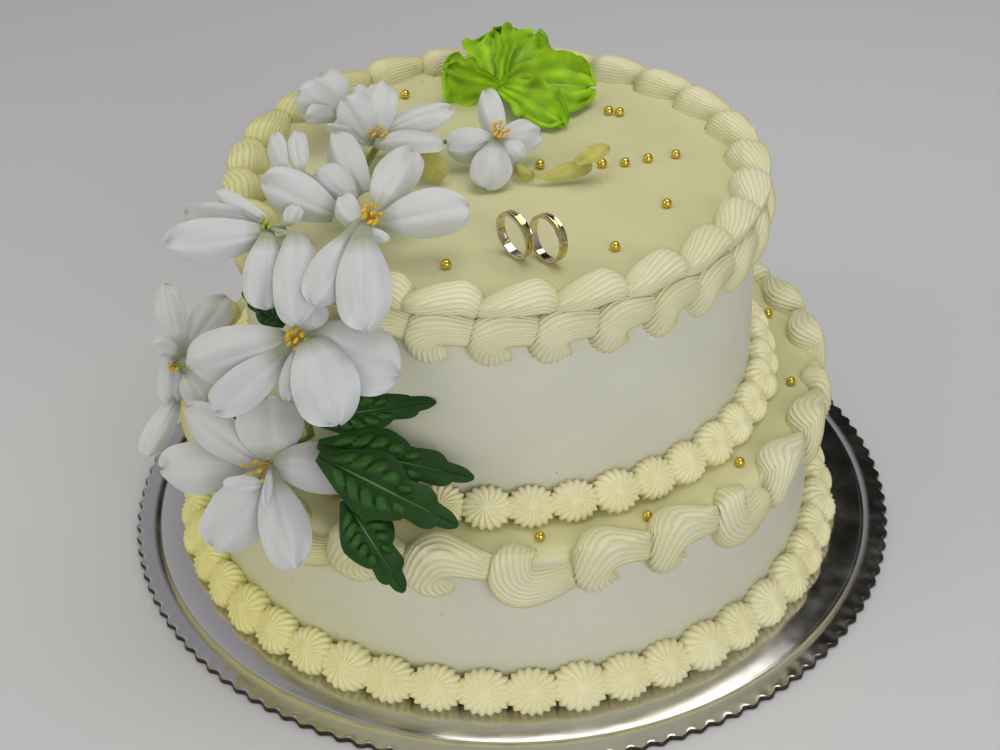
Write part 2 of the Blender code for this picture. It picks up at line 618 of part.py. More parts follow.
def main():
    clear_scene()
    cream = material("buttercream", (0.83, 0.80, 0.58), 0.5)
    silver = material("silver_foil", (0.6, 0.6, 0.62), 0.25, 1.0)
    gold = material("gold_metal", (0.8, 0.6, 0.25), 0.2, 1.0)
    silk = material("white_silk", (0.8, 0.81, 0.84), 0.6)
    green = material("green_leaf", (0.05, 0.18, 0.05), 0.5)
    bright = material("bright_leaf", (0.25, 0.6, 0.05), 0.5)
    pale = material("pale_leaf", (0.5, 0.52, 0.15), 0.5)
    make_board(silver)
    make_tiers(cream)
    rosette_ring("lower_base_border", LOWER_ROSETTES, LOWER_ROSETTE_TURN, LOWER_X, LOWER_RADIUS, BOARD_THICK, 19.5, 20.0, cream)
    rosette_ring("upper_base_border", UPPER_ROSETTES, UPPER_ROSETTE_TURN, UPPER_X, UPPER_FOOT_RADIUS, LOWER_TOP, 13.0, 17.0, cream)
    lower_edge_scrolls(cream)
    upper_edge_scrolls(cream)
    for name, (foot, axis) in RINGS.items():
        make_ring(name, foot, axis, gold)
    looks = {"blossom": silk, "leaf": green, "sprig": pale}
    for name, (hub, kind, specs) in SPRAYS.items():
        look = {"leaf_bright": bright, "leaf_pale": pale}.get(name) or looks[name.split("_")[0]]
        make_spray(name, hub, kind, specs, look)
    make_stems(pale)


if __name__ == "__main__":
    main()
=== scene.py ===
"""Tiered wedding cake, dressed: smoothed and piped buttercream, foil board, gold pearls, wedding rings,
silk blossoms and cloth leaves.

Sizes are in millimetres and go through MM into metres. The frame is the solids' own: the origin is the
middle of the board's underside, +Z is up and -Y is the front.
"""

import math

import bpy
from mathutils import Matrix, Vector, noise


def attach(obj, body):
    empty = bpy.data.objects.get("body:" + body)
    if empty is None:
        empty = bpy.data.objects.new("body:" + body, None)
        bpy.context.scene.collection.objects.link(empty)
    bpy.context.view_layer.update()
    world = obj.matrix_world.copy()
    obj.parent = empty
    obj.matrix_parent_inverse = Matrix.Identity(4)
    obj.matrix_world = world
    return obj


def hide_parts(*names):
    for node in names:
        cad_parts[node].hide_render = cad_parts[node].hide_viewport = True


bl_info = {
    "name": "Tiered wedding cake",
    "version": (1, 0, 0),
    "blender": (4, 5, 0),
    "location": "3D View > Sidebar > Cake",
    "description": "Dresses a two-tier buttercream wedding cake piece by piece",
    "category": "Object",
}

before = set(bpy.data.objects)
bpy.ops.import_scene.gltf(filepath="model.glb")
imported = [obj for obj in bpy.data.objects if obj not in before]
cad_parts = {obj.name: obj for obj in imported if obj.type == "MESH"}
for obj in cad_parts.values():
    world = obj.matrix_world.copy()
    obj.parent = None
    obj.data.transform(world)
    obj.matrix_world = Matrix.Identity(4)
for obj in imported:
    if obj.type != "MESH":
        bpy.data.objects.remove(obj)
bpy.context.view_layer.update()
MM = 0.001

LOWER_X, LOWER_RADIUS, LOWER_TOP = -2.0, 157.0, 87.0
UPPER_X, UPPER_RADIUS, UPPER_FOOT, UPPER_TOP = -4.2, 124.0, 126.0, 194.0
BOARD_THICK = 3.0
# The line pressed into the board inside its rim, as radius and height.
PRESSED_LINE = ((188.6, BOARD_THICK), (187.9, 2.55), (187.0, 2.35), (186.1, 2.6), (185.4, BOARD_THICK))
STEM_RADIUS, TWIG_RADIUS = 1.8, 1.15
# How far a pearl is pressed into the cream, how far piping reaches into it, and the gap under a ring.
PEARL_SINK, PIPING_SINK, RING_GAP = 0.7, 3.5, 0.35
# The length over which piping rolls over a tier's edge, and the points across each of its ridges.
EDGE_ROLL, RIDGE_POINTS = 14, 6
# How far the knife strays on a wall and on a top, each with the length of its waves.
WALL_STRAY, TOP_STRAY = (0.5, 45), (0.35, 50)
TIER_SEGMENTS, RING_SEGMENTS, POINTS_A_SCALLOP = 160, 96, 10

# Pearls, as distances from their tier's own axis.
UPPER_PEARLS = (
    (-47.0, 80.8), (20.6, 1.4), (50.2, 1.3), (61.2, 1.9), (72.4, 5.6), (86.1, 9.2),
    (77.7, -38.7), (51.7, -76.5), (-22.4, -89.3), (56.6, 57.6), (62.0, 55.9),
)
LOWER_PEARLS = ((139.0, 32.8), (142.1, -29.8), (108.8, -94.6), (63.0, -132.4), (14.4, -145.6))

WEDDING_RINGS = {
    "wedding_ring_left": ((3.5, -81.5), (-0.786, -0.614, -0.07)),
    "wedding_ring_right": ((17.8, -84.8), (-0.778, -0.626, 0.05)),
}

# A scroll's net: rows from its tail to the rim of its head. Each row has four points across, as distance
# along the tier and distance down over its edge, then the height of the cream.
EDGE_SCROLL = (
    (((27, 1), (27, 5), (27, 9), (27, 13)), 3.0),
    (((13, -5.5), (13, -0.5), (13, 4.5), (13, 9.5)), 6.5),
    (((1, -9), (0.5, -2.5), (2.5, 4), (6, 9)), 8.0),
    (((-8, -7), (-8.5, 2), (-4, 8.5), (3.5, 11)), 8.0),
    (((-13.5, 0), (-13, 10.5), (-6.5, 16.5), (3.5, 15)), 7.0),
    (((-15, 7.5), (-12, 18), (-3.5, 24.5), (7, 20)), 4.5),
)
SIDE_SCROLL = (
    (((22, 5.5), (22, 9.5), (22, 13.5), (22, 17.5)), 3.5),
    (((10, 2.5), (10, 7.5), (10, 12), (10, 16.5)), 6.0),
    (((0, 2.0), (-0.5, 8), (2, 12.5), (5.5, 16)), 7.5),
    (((-8, 5), (-7.5, 12.5), (-2.5, 17), (4.5, 18)), 7.5),
    (((-12.5, 13), (-11, 22), (-3.5, 28), (6.5, 25)), 5.0),
)
COMMA_SCROLL = (
    (((-19.5, 3.5), (-20, 1.5), (-20.5, -0.5), (-21, -2.5)), 3.0),
    (((-9, 4), (-9.5, 0), (-10, -4), (-10.5, -8)), 6.5),
    (((0.5, 3), (0.5, -2), (0, -7), (-1, -12)), 8.5),
    (((9, 2.5), (9.5, -3), (8.5, -8.5), (6, -13.5)), 9.0),
    (((13.5, 4), (17, -1.5), (16.5, -8.5), (12.5, -13.5)), 6.5),
)

# Each spray is a hub, a kind of blade and its blades: base, tip, side direction, width, bow along the
# length and cup across it.
SPRAYS = {
    "blossom_bud": ((-81.9, 29.9, 211.3), "petal", (
        ((-81, 28.8, 209.6), (-99.5, 30, 222.1), (0.53, 0.42, 0.74), 19, 3, -8),
        ((-81.6, 35.3, 208.6), (-91.7, 51.5, 221.5), (0.84, 0.09, 0.54), 20, 2, -6),
        ((-81.4, 22.8, 211.5), (-95.2, 17.4, 214.5), (0.25, -0.11, 0.96), 12, 2, -5),
    )),
    "blossom_top": ((-62.2, -1.7, 211.3), "petal", (
        ((-61.2, -0.3, 213.2), (-58.5, 27.6, 228.8), (1.00, -0.09, -0.02), 17, 3, -4),
        ((-63.3, -5.2, 213.1), (-74.6, 0.8, 232.5), (0.87, 0.04, 0.49), 17, 3, -5),
        ((-56.8, 4.3, 212.9), (-25.1, 16.4, 219.4), (0.39, -0.72, -0.57), 15, 3, -4),
        ((-60.8, -7.3, 213.6), (-28.9, -11.1, 214.9), (-0.08, -0.88, -0.47), 13, 4, -4),
        ((-62.6, -4.5, 210.7), (-83.6, -3.2, 219.8), (0.36, -0.31, 0.88), 10, 2, -3),
        ((-66.2, 12.5, 214.2), (-71, 32.1, 224.8), (0.90, -0.02, 0.44), 9, 1, -2),
    )),
    "blossom_front": ((-60.3, -84.4, 216.7), "petal", (
        ((-55.1, -75.9, 218.3), (-41.7, -40.4, 227.2), (0.88, -0.23, -0.41), 19, 3, -5),
        ((-52.6, -85.4, 215.2), (-16, -79.9, 219.2), (0.17, -0.48, -0.86), 21, 4, -6),
        ((-64, -88, 214.9), (-72.5, -75.6, 222.4), (0.74, 0.11, 0.67), 12, 2, -3),
        ((-64.6, -93, 214.9), (-49.7, -99.7, 215.5), (-0.38, -0.87, -0.30), 6, 2, -2),
        ((-65.8, -103.1, 217.8), (-80.5, -125.6, 199.6), (-0.84, 0.12, 0.53), 18, 3, -6),
        ((-60.4, -107.5, 220.3), (-58.9, -134.4, 192), (-1.00, -0.08, 0.03), 23, 4, -5),
    )),
    "blossom_behind": ((-72, -52.5, 210.1), "petal", (
        ((-68.4, -59.6, 210.4), (-84.7, -45.8, 219.8), (0.69, 0.40, 0.60), 17, 4, -6),
        ((-64.7, -48.5, 208.8), (-79.7, -14.7, 222.4), (0.86, 0.19, 0.48), 17, 3, -5),
        ((-75.6, -69.3, 210.5), (-107.2, -58.9, 222.3), (0.42, 0.33, 0.84), 20, 4, -6),
        ((-92.6, -40.9, 216.4), (-95.8, -21.3, 227.1), (0.95, -0.02, 0.32), 10, 2, -3),
        ((-101, -39.1, 215.6), (-106.1, -20, 225.6), (0.91, 0.03, 0.41), 9, 2, -3),
    )),
    "blossom_left": ((-104.2, -80, 211.1), "petal", (
        ((-106.8, -73.5, 210), (-142, -66.8, 209.4), (0.05, 0.35, 0.94), 14, 3, -1),
        ((-104.6, -85.4, 210.3), (-146.5, -91.6, 208.8), (-0.08, 0.33, 0.94), 19, 4, -4),
        ((-103.9, -76, 209.8), (-128.2, -62.9, 218.4), (0.47, 0.35, 0.81), 9, 2, -3),
        ((-102.1, -91.6, 211.9), (-103.7, -112.3, 189.1), (-0.99, -0.08, 0.14), 19, 4, -5),
        ((-95, -77.8, 210.7), (-91.1, -71.4, 216.4), (0.91, -0.25, -0.33), 8, 1, -2),
        ((-89.2, -94.2, 215.1), (-87.7, -127.3, 192), (-0.99, -0.10, 0.07), 20, 4, -4),
    )),
    "blossom_middle": ((-91.1, -120.8, 178.7), "petal", (
        ((-96.2, -120.7, 178.7), (-139.3, -115.8, 161.8), (-0.31, 0.35, 0.89), 24, 4, -6),
        ((-97.4, -123, 172.1), (-127.3, -129.9, 148.3), (-0.64, 0.20, 0.74), 19, 3, -1),
        ((-82.9, -127.5, 183), (-71.6, -152.5, 157.4), (-0.95, -0.25, -0.18), 28, 5, -4),
        ((-82.3, -121.5, 181), (-46.7, -135, 170.1), (-0.43, -0.54, -0.73), 30, 4, -4),
        ((-88.8, -124.9, 176.3), (-94.1, -135.5, 157.5), (-0.93, -0.12, 0.33), 10, 2, -3),
        ((-87.7, -120.4, 184.4), (-82.9, -112.3, 194.2), (0.93, -0.17, -0.31), 18, 2, -2),
    )),
    "blossom_low": ((-106.6, -122.8, 114.6), "petal", (
        ((-106.1, -121, 117.1), (-108.6, -99.2, 134.5), (0.99, 0.14, -0.04), 30, 4, -6),
        ((-104.1, -124.4, 115.8), (-68.3, -121.9, 108.5), (-0.11, -0.62, -0.78), 23, 4, -6),
        ((-110.2, -129.7, 111.7), (-133.2, -140.7, 78.6), (-0.83, 0.24, 0.50), 27, 4, -6),
        ((-105.5, -132.3, 111.4), (-94.8, -158.6, 84), (-0.96, -0.26, -0.12), 22, 4, -5),
        ((-111.8, -121.2, 113.5), (-148, -95.6, 126), (0.59, 0.56, 0.58), 18, 3, -5),
        ((-119.3, -115.6, 107.6), (-160.6, -106.9, 99.4), (-0.03, 0.61, 0.79), 24, 3, -5),
        ((-109.3, -136, 113.2), (-125, -141.1, 116.5), (0.09, 0.33, 0.94), 8, 1, -2),
        ((-106, -130.9, 117), (-107.5, -143, 106.5), (-0.87, -0.26, 0.42), 5, 1, -1),
    )),
    "blossom_side": ((-157.4, -66.6, 129.4), "petal", (
        ((-153.5, -61, 137.3), (-162.2, -39.3, 158.1), (0.95, 0.29, 0.10), 13, 2, -3),
        ((-151.5, -59, 133.2), (-132.7, -37.9, 149.4), (0.77, -0.23, -0.60), 17, 2, -4),
        ((-155.8, -76.2, 115.5), (-169.4, -93.7, 97.5), (-0.80, 0.01, 0.59), 13, 2, -4),
        ((-153.7, -66.2, 136.9), (-164.9, -66.8, 143.1), (0.37, 0.58, 0.73), 9, 2, -3),
        ((-151.8, -68.2, 127), (-141.7, -81.1, 118.8), (-0.83, -0.43, -0.35), 14, 2, -3),
        ((-155.8, -61.2, 133.6), (-157.7, -76.7, 114.8), (-0.98, -0.10, 0.18), 15, 3, -4),
    )),
    "blossom_right": ((-3.9, 4.2, 208.7), "petal", (
        ((-3.9, 7.3, 206.1), (-9.3, 31.9, 220.5), (0.94, 0.01, 0.34), 13, 3, -4),
        ((-5.3, 3.2, 207.2), (-27.1, -0.7, 205.4), (-0.13, 0.29, 0.95), 17, 3, -5),
        ((-4.3, -4.6, 210.1), (-8.3, -24.9, 198.4), (-0.98, 0.09, 0.18), 19, 4, -5),
        ((-2.5, 3.2, 207.1), (17.1, 9.9, 209.7), (0.30, -0.58, -0.76), 16, 3, -5),
        ((-2.5, -1.3, 207.8), (8.7, -6.6, 203.5), (-0.49, -0.40, -0.78), 12, 2, -4),
    )),
    "leaf_upper": ((-80.3, -108.3, 129.9), "leaf", (
        ((-90.5, -106.9, 126.8), (-31.9, -123.9, 147.3), (0.09, -0.63, -0.77), 21, 2, -1),
    )),
    "leaf_middle": ((-73.9, -117.3, 117), "leaf", (
        ((-84.6, -125.3, 126.6), (-16, -141.2, 118.7), (-0.24, -0.66, -0.72), 25, 2, -2),
    )),
    "leaf_lower": ((-71.8, -122.4, 109.6), "leaf", (
        ((-83.7, -134.6, 127.1), (-23.1, -158.5, 106.2), (-0.46, -0.63, -0.62), 29, 2, -2),
    )),
    "leaf_bottom": ((-66.9, -145.4, 94), "leaf", (
        ((-73, -144.1, 110), (-46.5, -179.1, 87.4), (-0.84, -0.48, -0.25), 24, 2, -2),
    )),
    "leaf_small": ((-107.3, -96.5, 178.6), "leaf", (
        ((-97.8, -100.6, 172.7), (-116.8, -86.9, 182), (0.61, 0.39, 0.69), 11, 1, -2),
    )),
    "leaf_hidden": ((-121.7, -87.9, 115.9), "leaf", (
        ((-114.4, -89.3, 113.8), (-135.3, -85.4, 112.6), (0.04, 0.48, 0.88), 14, 1, -2),
    )),
    "leaf_bright": ((-2.2, 75.8, 202.9), "lobe", (
        ((-2.2, 75.2, 202.1), (-31.6, 81.2, 211), (0.27, -0.10, 0.96), 24, 3, 5),
        ((-2.2, 75.2, 202.1), (-5.9, 112.1, 216.7), (0.96, -0.01, 0.27), 24, 3, 5),
        ((-1.1, 75.8, 202.9), (17.1, 111.4, 215.5), (0.87, -0.32, -0.37), 24, 3, 5),
        ((-1.2, 75.2, 202.1), (47.6, 70.7, 202.2), (-0.06, -0.71, -0.70), 28, 3, 5),
        ((-1.2, 74.6, 201.3), (30.2, 38, 197.4), (-0.71, -0.56, -0.43), 20, 3, 5),
    )),
    "sprig": ((11.4, -14.8, 200.4), "bud", (
        ((13.2, -14.7, 197.1), (3.9, -9.3, 199.7), (0.33, 0.13, 0.93), 8, 2, -1),
        ((18.3, -16.2, 198.4), (40.5, -11.1, 202.1), (0.27, -0.73, -0.63), 8, 1, -2),
    )),
    "sprig_far": ((33.8, -14.9, 203.7), "bud", (
        ((32.7, -17.9, 206.3), (48.6, -6, 209.2), (0.57, -0.64, -0.52), 8, 1, -1),
    )),
    "leaf_pale": ((-37.9, -6.9, 203.5), "bud", (
        ((-28.9, -15.3, 198.3), (-45.8, -3.6, 208.3), (0.61, 0.24, 0.75), 15, 2, -3),
    )),
}

# Each stem is its path and, for each twig, the number of the path point it leaves and the blossom it carries.
STEMS = {
    "stem_upper": (
        ((-62, 18, 198.5), (-70, -16, 198.5), (-76, -42, 200.5)),
        ((0, "blossom_top"), (0, "blossom_bud"), (0, "blossom_right"), (2, "blossom_behind")),
    ),
    "stem_lower": (
        ((-96, -94, 152), (-93, -97, 129), (-91, -100, 112)),
        ((0, "blossom_middle"), (0, "blossom_side"), (2, "blossom_low")),
    ),
}
PICKS = {
    "pick_front": ((-60.3, -84.4, 194.35), "blossom_front"),
    "pick_left": ((-97, -74.5, 206), "blossom_left"),
}
# Each cluster of stamens: the blossom it stands in, the way it leans, its length, spread and count, and
# its colour.
STAMENS = {
    "blossom_top": ((0.35, -0.35, 0.87), 10.0, 0.45, 7, "orange"),
    "blossom_front": ((0.45, -0.6, 0.66), 9.0, 0.6, 12, "orange"),
    "blossom_middle": ((0.25, -0.8, 0.55), 8.5, 0.6, 14, "orange"),
    "blossom_right": ((0.25, -0.45, 0.86), 9.0, 0.5, 8, "orange"),
    "blossom_left": ((0.1, -0.7, 0.7), 7.0, 0.4, 4, "green"),
    "blossom_low": ((-0.6, -0.75, 0.1), 16.0, 0.5, 6, "orange"),
    "blossom_side": ((0.2, -0.9, 0.3), 7.0, 0.4, 3, "orange"),
}

# Each kind of blade: its material, its finish, its rows and columns of points, and its share of the silk's
# thickness.
BLADES = {
    "petal": ("silk", "white_silk", 30, 20, 1.0),
    "leaf": ("dark_leaf", "green_leaf", 90, 36, 1.6),
    "lobe": ("bright_leaf", "bright_leaf", 44, 32, 1.0),
    "bud": ("pale_leaf", "pale_leaf", 30, 20, 1.0),
}
# Each softbox: where it stands, its width in metres, its watts and its tint. All aim at the cake's middle.
SOFTBOXES = (
    ("overhead_softbox", (0.3, 0.15, 1.5), 1.3, 9.8, "#FFFDF8"),
    ("left_softbox", (-1.5, -0.6, 0.9), 1.2, 5, "#FFF2CC"),
    ("front_softbox", (0.7, -1.75, 0.8), 1.4, 16.2, "#FAFBFC"),
)
LAMP_AIM = Vector((0, 0, 0.1))
# The room's tints from left to right, and where the inner ones stand.
ROOM_TINTS, ROOM_STOPS = ("#E4E4E8", "#A9A8B2", "#26221D", "#201D19", "#B8B8BC"), (0.43, 0.54, 0.75)
# The camera's lens in millimetres, its place in metres and its turns in order.
CAMERA_LENS, CAMERA_PLACE = 61.652, (0, -0.72655, 0.58007)
CAMERA_TURNS = ((0.00652, "Z"), (math.pi / 2 - 0.60767, "X"), (-0.02071, "Z"))
LOOKS = {}
TREES = {}
WHITE = (1, 1, 1, 1)
CUT_EDGE, RING_PALE, STEM = "#4E483D", "#D6CDB4", "#8FA04C"
STAMEN_ORANGE, STAMEN_GREEN = "#DDB434", "#A8B43C"
DARK_RIB, BRIGHT_RIB, PALE_RIB = "#5F8A4C", "#9CC93E", "#CBD08C"


def linear(code):
    """Linear RGB of an sRGB hex colour."""
    parts = (int(code[i:i + 2], 16) / 255 for i in (1, 3, 5))
    return tuple(c / 12.92 if c <= 0.04045 else ((c + 0.055) / 1.055) ** 2.4 for c in parts)


def colour_prop(name, description, code):
    kept = {"subtype": "COLOR", "size": 3, "min": 0, "max": 1, "default": linear(code)}
    return bpy.props.FloatVectorProperty(name=name, description=description, **kept)


def length_prop(name, description, millimetres):
    kept = {"unit": "LENGTH", "subtype": "DISTANCE", "default": millimetres * MM}
    return bpy.props.FloatProperty(name=name, description=description, **kept)


def count_prop(name, description, number, least):
    return bpy.props.IntProperty(name=name, description=description, default=number, min=least)


class CakeSizes(bpy.types.PropertyGroup):
    board_radius: length_prop("Board radius", "Middle of the board to the crest of a wave in its rim", 199.9)
    scallops: count_prop("Scallops", "Waves round the board's rim", 125, 12)
    scallop_depth: length_prop("Scallop depth", "How far the waves cut into the rim", 1.9)
    ridge_depth: length_prop("Ridge depth", "How deep the star tip cuts between ridges", 1.1)
    unevenness: length_prop("Unevenness", "How far hand piping strays from its shape", 0.6)
    lower_rosettes: count_prop("Lower rosettes", "Rosettes round the foot of the lower tier", 47, 6)
    upper_rosettes: count_prop("Upper rosettes", "Rosettes round the foot of the upper tier", 42, 6)
    lower_scrolls: count_prop("Lower scrolls", "Scrolls over the lower tier's edge", 27, 3)
    side_scrolls: count_prop("Side scrolls", "Hooks under the upper tier's edge", 30, 3)
    commas: count_prop("Commas", "Commas along the upper tier's edge", 25, 3)
    pearl_radius: length_prop("Pearl radius", "Radius of a sugar pearl", 2.5)
    ring_radius: length_prop("Wedding ring radius", "Outside radius of a wedding ring", 11.0)
    petal_thickness: length_prop("Petal thickness", "Thickness of the silk", 0.35)
    petal_ruffle: length_prop("Petal ruffle", "How far a petal's rim waves", 1.8)


class CakeColours(bpy.types.PropertyGroup):
    smoothed: colour_prop("Smoothed cream", "Buttercream on the walls", "#D6D6C3")
    # The top cream is a yellower copy of the wall cream for the faces that look up: painted light.
    top: colour_prop("Top cream", "Buttercream on the tops, yellowed a little", "#D9D6A5")
    piped: colour_prop("Piped cream", "Buttercream of the scrolls", "#E2E0C6")
    # The foot cream is a lighter copy of the piped cream for the rosettes: painted light against the shade at
    # the tiers' feet.
    foot: colour_prop("Foot cream", "Buttercream of the rosettes, lighter than the scrolls", "#F2ECC4")
    # The groove tone is painted shade in the grooves of the piping.
    groove: colour_prop("Groove tone", "What the grooves of the piping keep of its colour", "#F3EDC4")
    foil: colour_prop("Foil", "Silver foil on the board", "#CCCAC5")
    pearl: colour_prop("Pearl", "Gold lustre of the sugar pearls", "#DCC352")
    ring_gold: colour_prop("Ring gold", "Yellow gold of the wedding rings", "#D9BE6C")
    silk: colour_prop("Silk", "Cool white of the petals", "#CFD2D4")
    dark_leaf: colour_prop("Dark leaf", "Green of the lower leaves", "#2B571F")
    bright_leaf: colour_prop("Bright leaf", "Green of the ruffled leaf", "#95C61E")
    pale_leaf: colour_prop("Pale leaf", "Yellow green of the sprigs", "#C4C06A")
    floor: colour_prop("Floor", "Colour of the plain floor", "#D2D2D4")


def add_node(tree, kind, links=None, **settings):
    """Adds a node, sets its properties, then gives each input a value or another node's socket."""
    made = tree.nodes.new(kind)
    for key, value in settings.items():
        setattr(made, key, value)
    for key, value in (links or {}).items():
        if isinstance(value, bpy.types.NodeSocket):
            tree.links.new(value, made.inputs[key])
        else:
            made.inputs[key].default_value = value
    return made


def new_material(name, colour, **inputs):
    """A Principled material, with its even values on the shader's own sockets."""
    made = bpy.data.materials.new(name)
    made.use_nodes = True
    shader = made.node_tree.nodes["Principled BSDF"]
    shader.inputs["Base Color"].default_value = (*colour, 1)
    for key, value in inputs.items():
        shader.inputs[key.replace("_", " ")].default_value = value
    made.diffuse_color = (*colour, 1)
    return made, made.node_tree, shader


def shade(colour, factor):
    """The same colour, lighter or darker."""
    return (*(min(c * factor, 1) for c in colour), 1)


def spread(tree, source, low, high, first, second):
    """A colour ramp over part of a value's range."""
    ramp = add_node(tree, "ShaderNodeValToRGB", {"Fac": source})
    for stop, place, colour in zip(ramp.color_ramp.elements, (low, high), (first, second)):
        stop.position, stop.color = place, colour
    return ramp.outputs["Color"]


def patchy(tree, source, low, high, colour, dark, light):
    """A ramp from a darker to a lighter shade of one colour."""
    return spread(tree, source, low, high, shade(colour, dark), shade(colour, light))


def lumps(tree, where, size, detail=2.0, roughness=0.5):
    """Soft noise with lumps of about this size."""
    links = {"Vector": where, "Scale": 1 / size, "Detail": detail, "Roughness": roughness}
    return add_node(tree, "ShaderNodeTexNoise", links).outputs["Fac"]


def worked(tree, operation, *values):
    """One step of arithmetic."""
    return add_node(tree, "ShaderNodeMath", dict(enumerate(values)), operation=operation).outputs[0]


def mapped(tree, value, low, high, to_low=0.0, to_high=1.0):
    """A value's range laid over another."""
    links = {"Value": value, "From Min": low, "From Max": high, "To Min": to_low, "To Max": to_high}
    return add_node(tree, "ShaderNodeMapRange", links).outputs["Result"]


def mixed(tree, share, first, second, blend="MIX"):
    """Two colours put together, with this share of the second."""
    links = {"Factor": share, 6: first, 7: second}
    return add_node(tree, "ShaderNodeMix", links, data_type="RGBA", blend_type=blend).outputs[2]


def split(tree, vector, part):
    return add_node(tree, "ShaderNodeSeparateXYZ", {"Vector": vector}).outputs[part]


def bumped(tree, shader, height, distance, strength):
    links = {"Height": height, "Distance": distance * MM, "Strength": strength}
    tree.links.new(add_node(tree, "ShaderNodeBump", links).outputs["Normal"], shader.inputs["Normal"])


def object_coordinates(tree):
    return add_node(tree, "ShaderNodeTexCoord").outputs["Object"]


# The relief value on the points, which the materials read to paint shade and highlight.
def painted_relief_value(tree):
    return add_node(tree, "ShaderNodeAttribute", attribute_name="painted_relief").outputs["Fac"]


def warm_lit(tree, where, tone, blue):
    """Paints warm light into a tone: yellower towards -X, where the cream stands in warm light. blue is its
    share of blue left.
    """
    side = mapped(tree, split(tree, where, "X"), -0.17, -0.02, 1.0, 0.0)
    warm_cast = mixed(tree, side, WHITE, (0.97, 0.97, blue, 1))
    return mixed(tree, 1.0, tone, warm_cast, "MULTIPLY")


def smoothed_buttercream(colour, lit_top_colour):
    # Buttercream drawn smooth with a warm palette knife: a satin fat sheen, faint lifts of the blade and a
    # few burst air bubbles. The tops get a yellower copy of the wall cream where the surface faces up, which
    # is painted light. The walls yellow towards -X under painted warm light.
    made, tree, shader = new_material(
        "buttercream_smoothed", colour, Roughness=0.42, IOR=1.46,
        Subsurface_Weight=0.1, Subsurface_Scale=0.002, Subsurface_Radius=(1.0, 0.85, 0.55),
    )
    where = object_coordinates(tree)
    patches = lumps(tree, where, 0.055, 3.0)
    wall = warm_lit(tree, where, patchy(tree, patches, 0.35, 0.68, colour, 0.955, 1.02), 0.68)
    # Painted light: the faces that look up get the yellower top cream.
    lit_top = patchy(tree, patches, 0.3, 0.7, lit_top_colour, 0.93, 1.04)
    upward = split(tree, add_node(tree, "ShaderNodeNewGeometry").outputs["Normal"], "Z")
    tone = mixed(tree, mapped(tree, upward, 0.1, 0.7), wall, lit_top)
    bubbles = add_node(tree, "ShaderNodeTexVoronoi", {"Vector": where, "Scale": 1 / 0.017})
    pocks = spread(tree, bubbles.outputs["Distance"], 0.02, 0.045, (0.6, 0.56, 0.45, 1), WHITE)
    tree.links.new(mixed(tree, 1.0, tone, pocks, "MULTIPLY"), shader.inputs["Base Color"])
    bumped(tree, shader, lumps(tree, where, 0.014, 5.0, 0.55), 0.5, 0.35)
    return made


def piped_buttercream(name, colour, groove):
    # Piped buttercream: softer and more yellow than the walls. It is more yellow still towards -X, which is
    # painted warm light, and darker in the grooves of the star tip, which is painted shade.
    made, tree, shader = new_material(
        name, colour, Roughness=0.46, IOR=1.46,
        Subsurface_Weight=0.08, Subsurface_Scale=0.0012, Subsurface_Radius=(1.0, 0.85, 0.5),
    )
    where = object_coordinates(tree)
    dull = (colour[0] * 0.97, colour[1] * 0.965, colour[2] * 0.86, 1)
    tone = spread(tree, lumps(tree, where, 0.035, 3.0), 0.35, 0.66, dull, shade(colour, 1.03))
    # Painted shade: the grooves darken by the relief value on the points.
    depth = spread(tree, painted_relief_value(tree), 0.05, 0.75, (*groove, 1), WHITE)
    base = mixed(tree, 1.0, warm_lit(tree, where, tone, 0.6), depth, "MULTIPLY")
    tree.links.new(base, shader.inputs["Base Color"])
    bumped(tree, shader, lumps(tree, where, 0.0022, 3.0), 0.2, 0.3)
    return made


def foil_on_card(colour):
    # Silver foil rolled on to card: a bright but soft mirror, with the card's faint grain and handling marks.
    made, tree, shader = new_material("silver_foil", colour, Metallic=1.0, Roughness=0.18)
    where = object_coordinates(tree)
    rough = mapped(tree, lumps(tree, where, 0.02, 6.0, 0.65), 0.3, 0.7, 0.12, 0.26)
    tree.links.new(rough, shader.inputs["Roughness"])
    bumped(tree, shader, lumps(tree, where, 0.04), 1.2, 0.25)
    return made


def cut_card(colour):
    # The board's cut edge: foil over pressed grey card, dulled by the knife.
    made, tree, shader = new_material("board_cut_edge", colour, Metallic=0.9, Roughness=0.4)
    layers = lumps(tree, object_coordinates(tree), 0.002)
    tree.links.new(patchy(tree, layers, 0.3, 0.7, colour, 0.5, 1.0), shader.inputs["Base Color"])
    return made


def pearl_lustre(colour):
    # Sugar pearl tumbled in gold lustre dust: metallic but not quite smooth.
    made, tree, shader = new_material("gold_lustre_pearl", colour, Metallic=0.95, Roughness=0.24)
    dust = lumps(tree, object_coordinates(tree), 0.0012)
    tree.links.new(patchy(tree, dust, 0.3, 0.7, colour, 0.8, 1.1), shader.inputs["Base Color"])
    return made


def polished_gold(name, colour, roughness):
    # Polished gold: sharp reflections, broken by fine wear scratches.
    made, tree, shader = new_material(name, colour, Metallic=1.0, Roughness=roughness)
    wear = lumps(tree, object_coordinates(tree), 0.0008, 4.0)
    rough = mapped(tree, wear, 0.0, 1.0, roughness * 0.6, roughness * 1.8)
    tree.links.new(rough, shader.inputs["Roughness"])
    return made


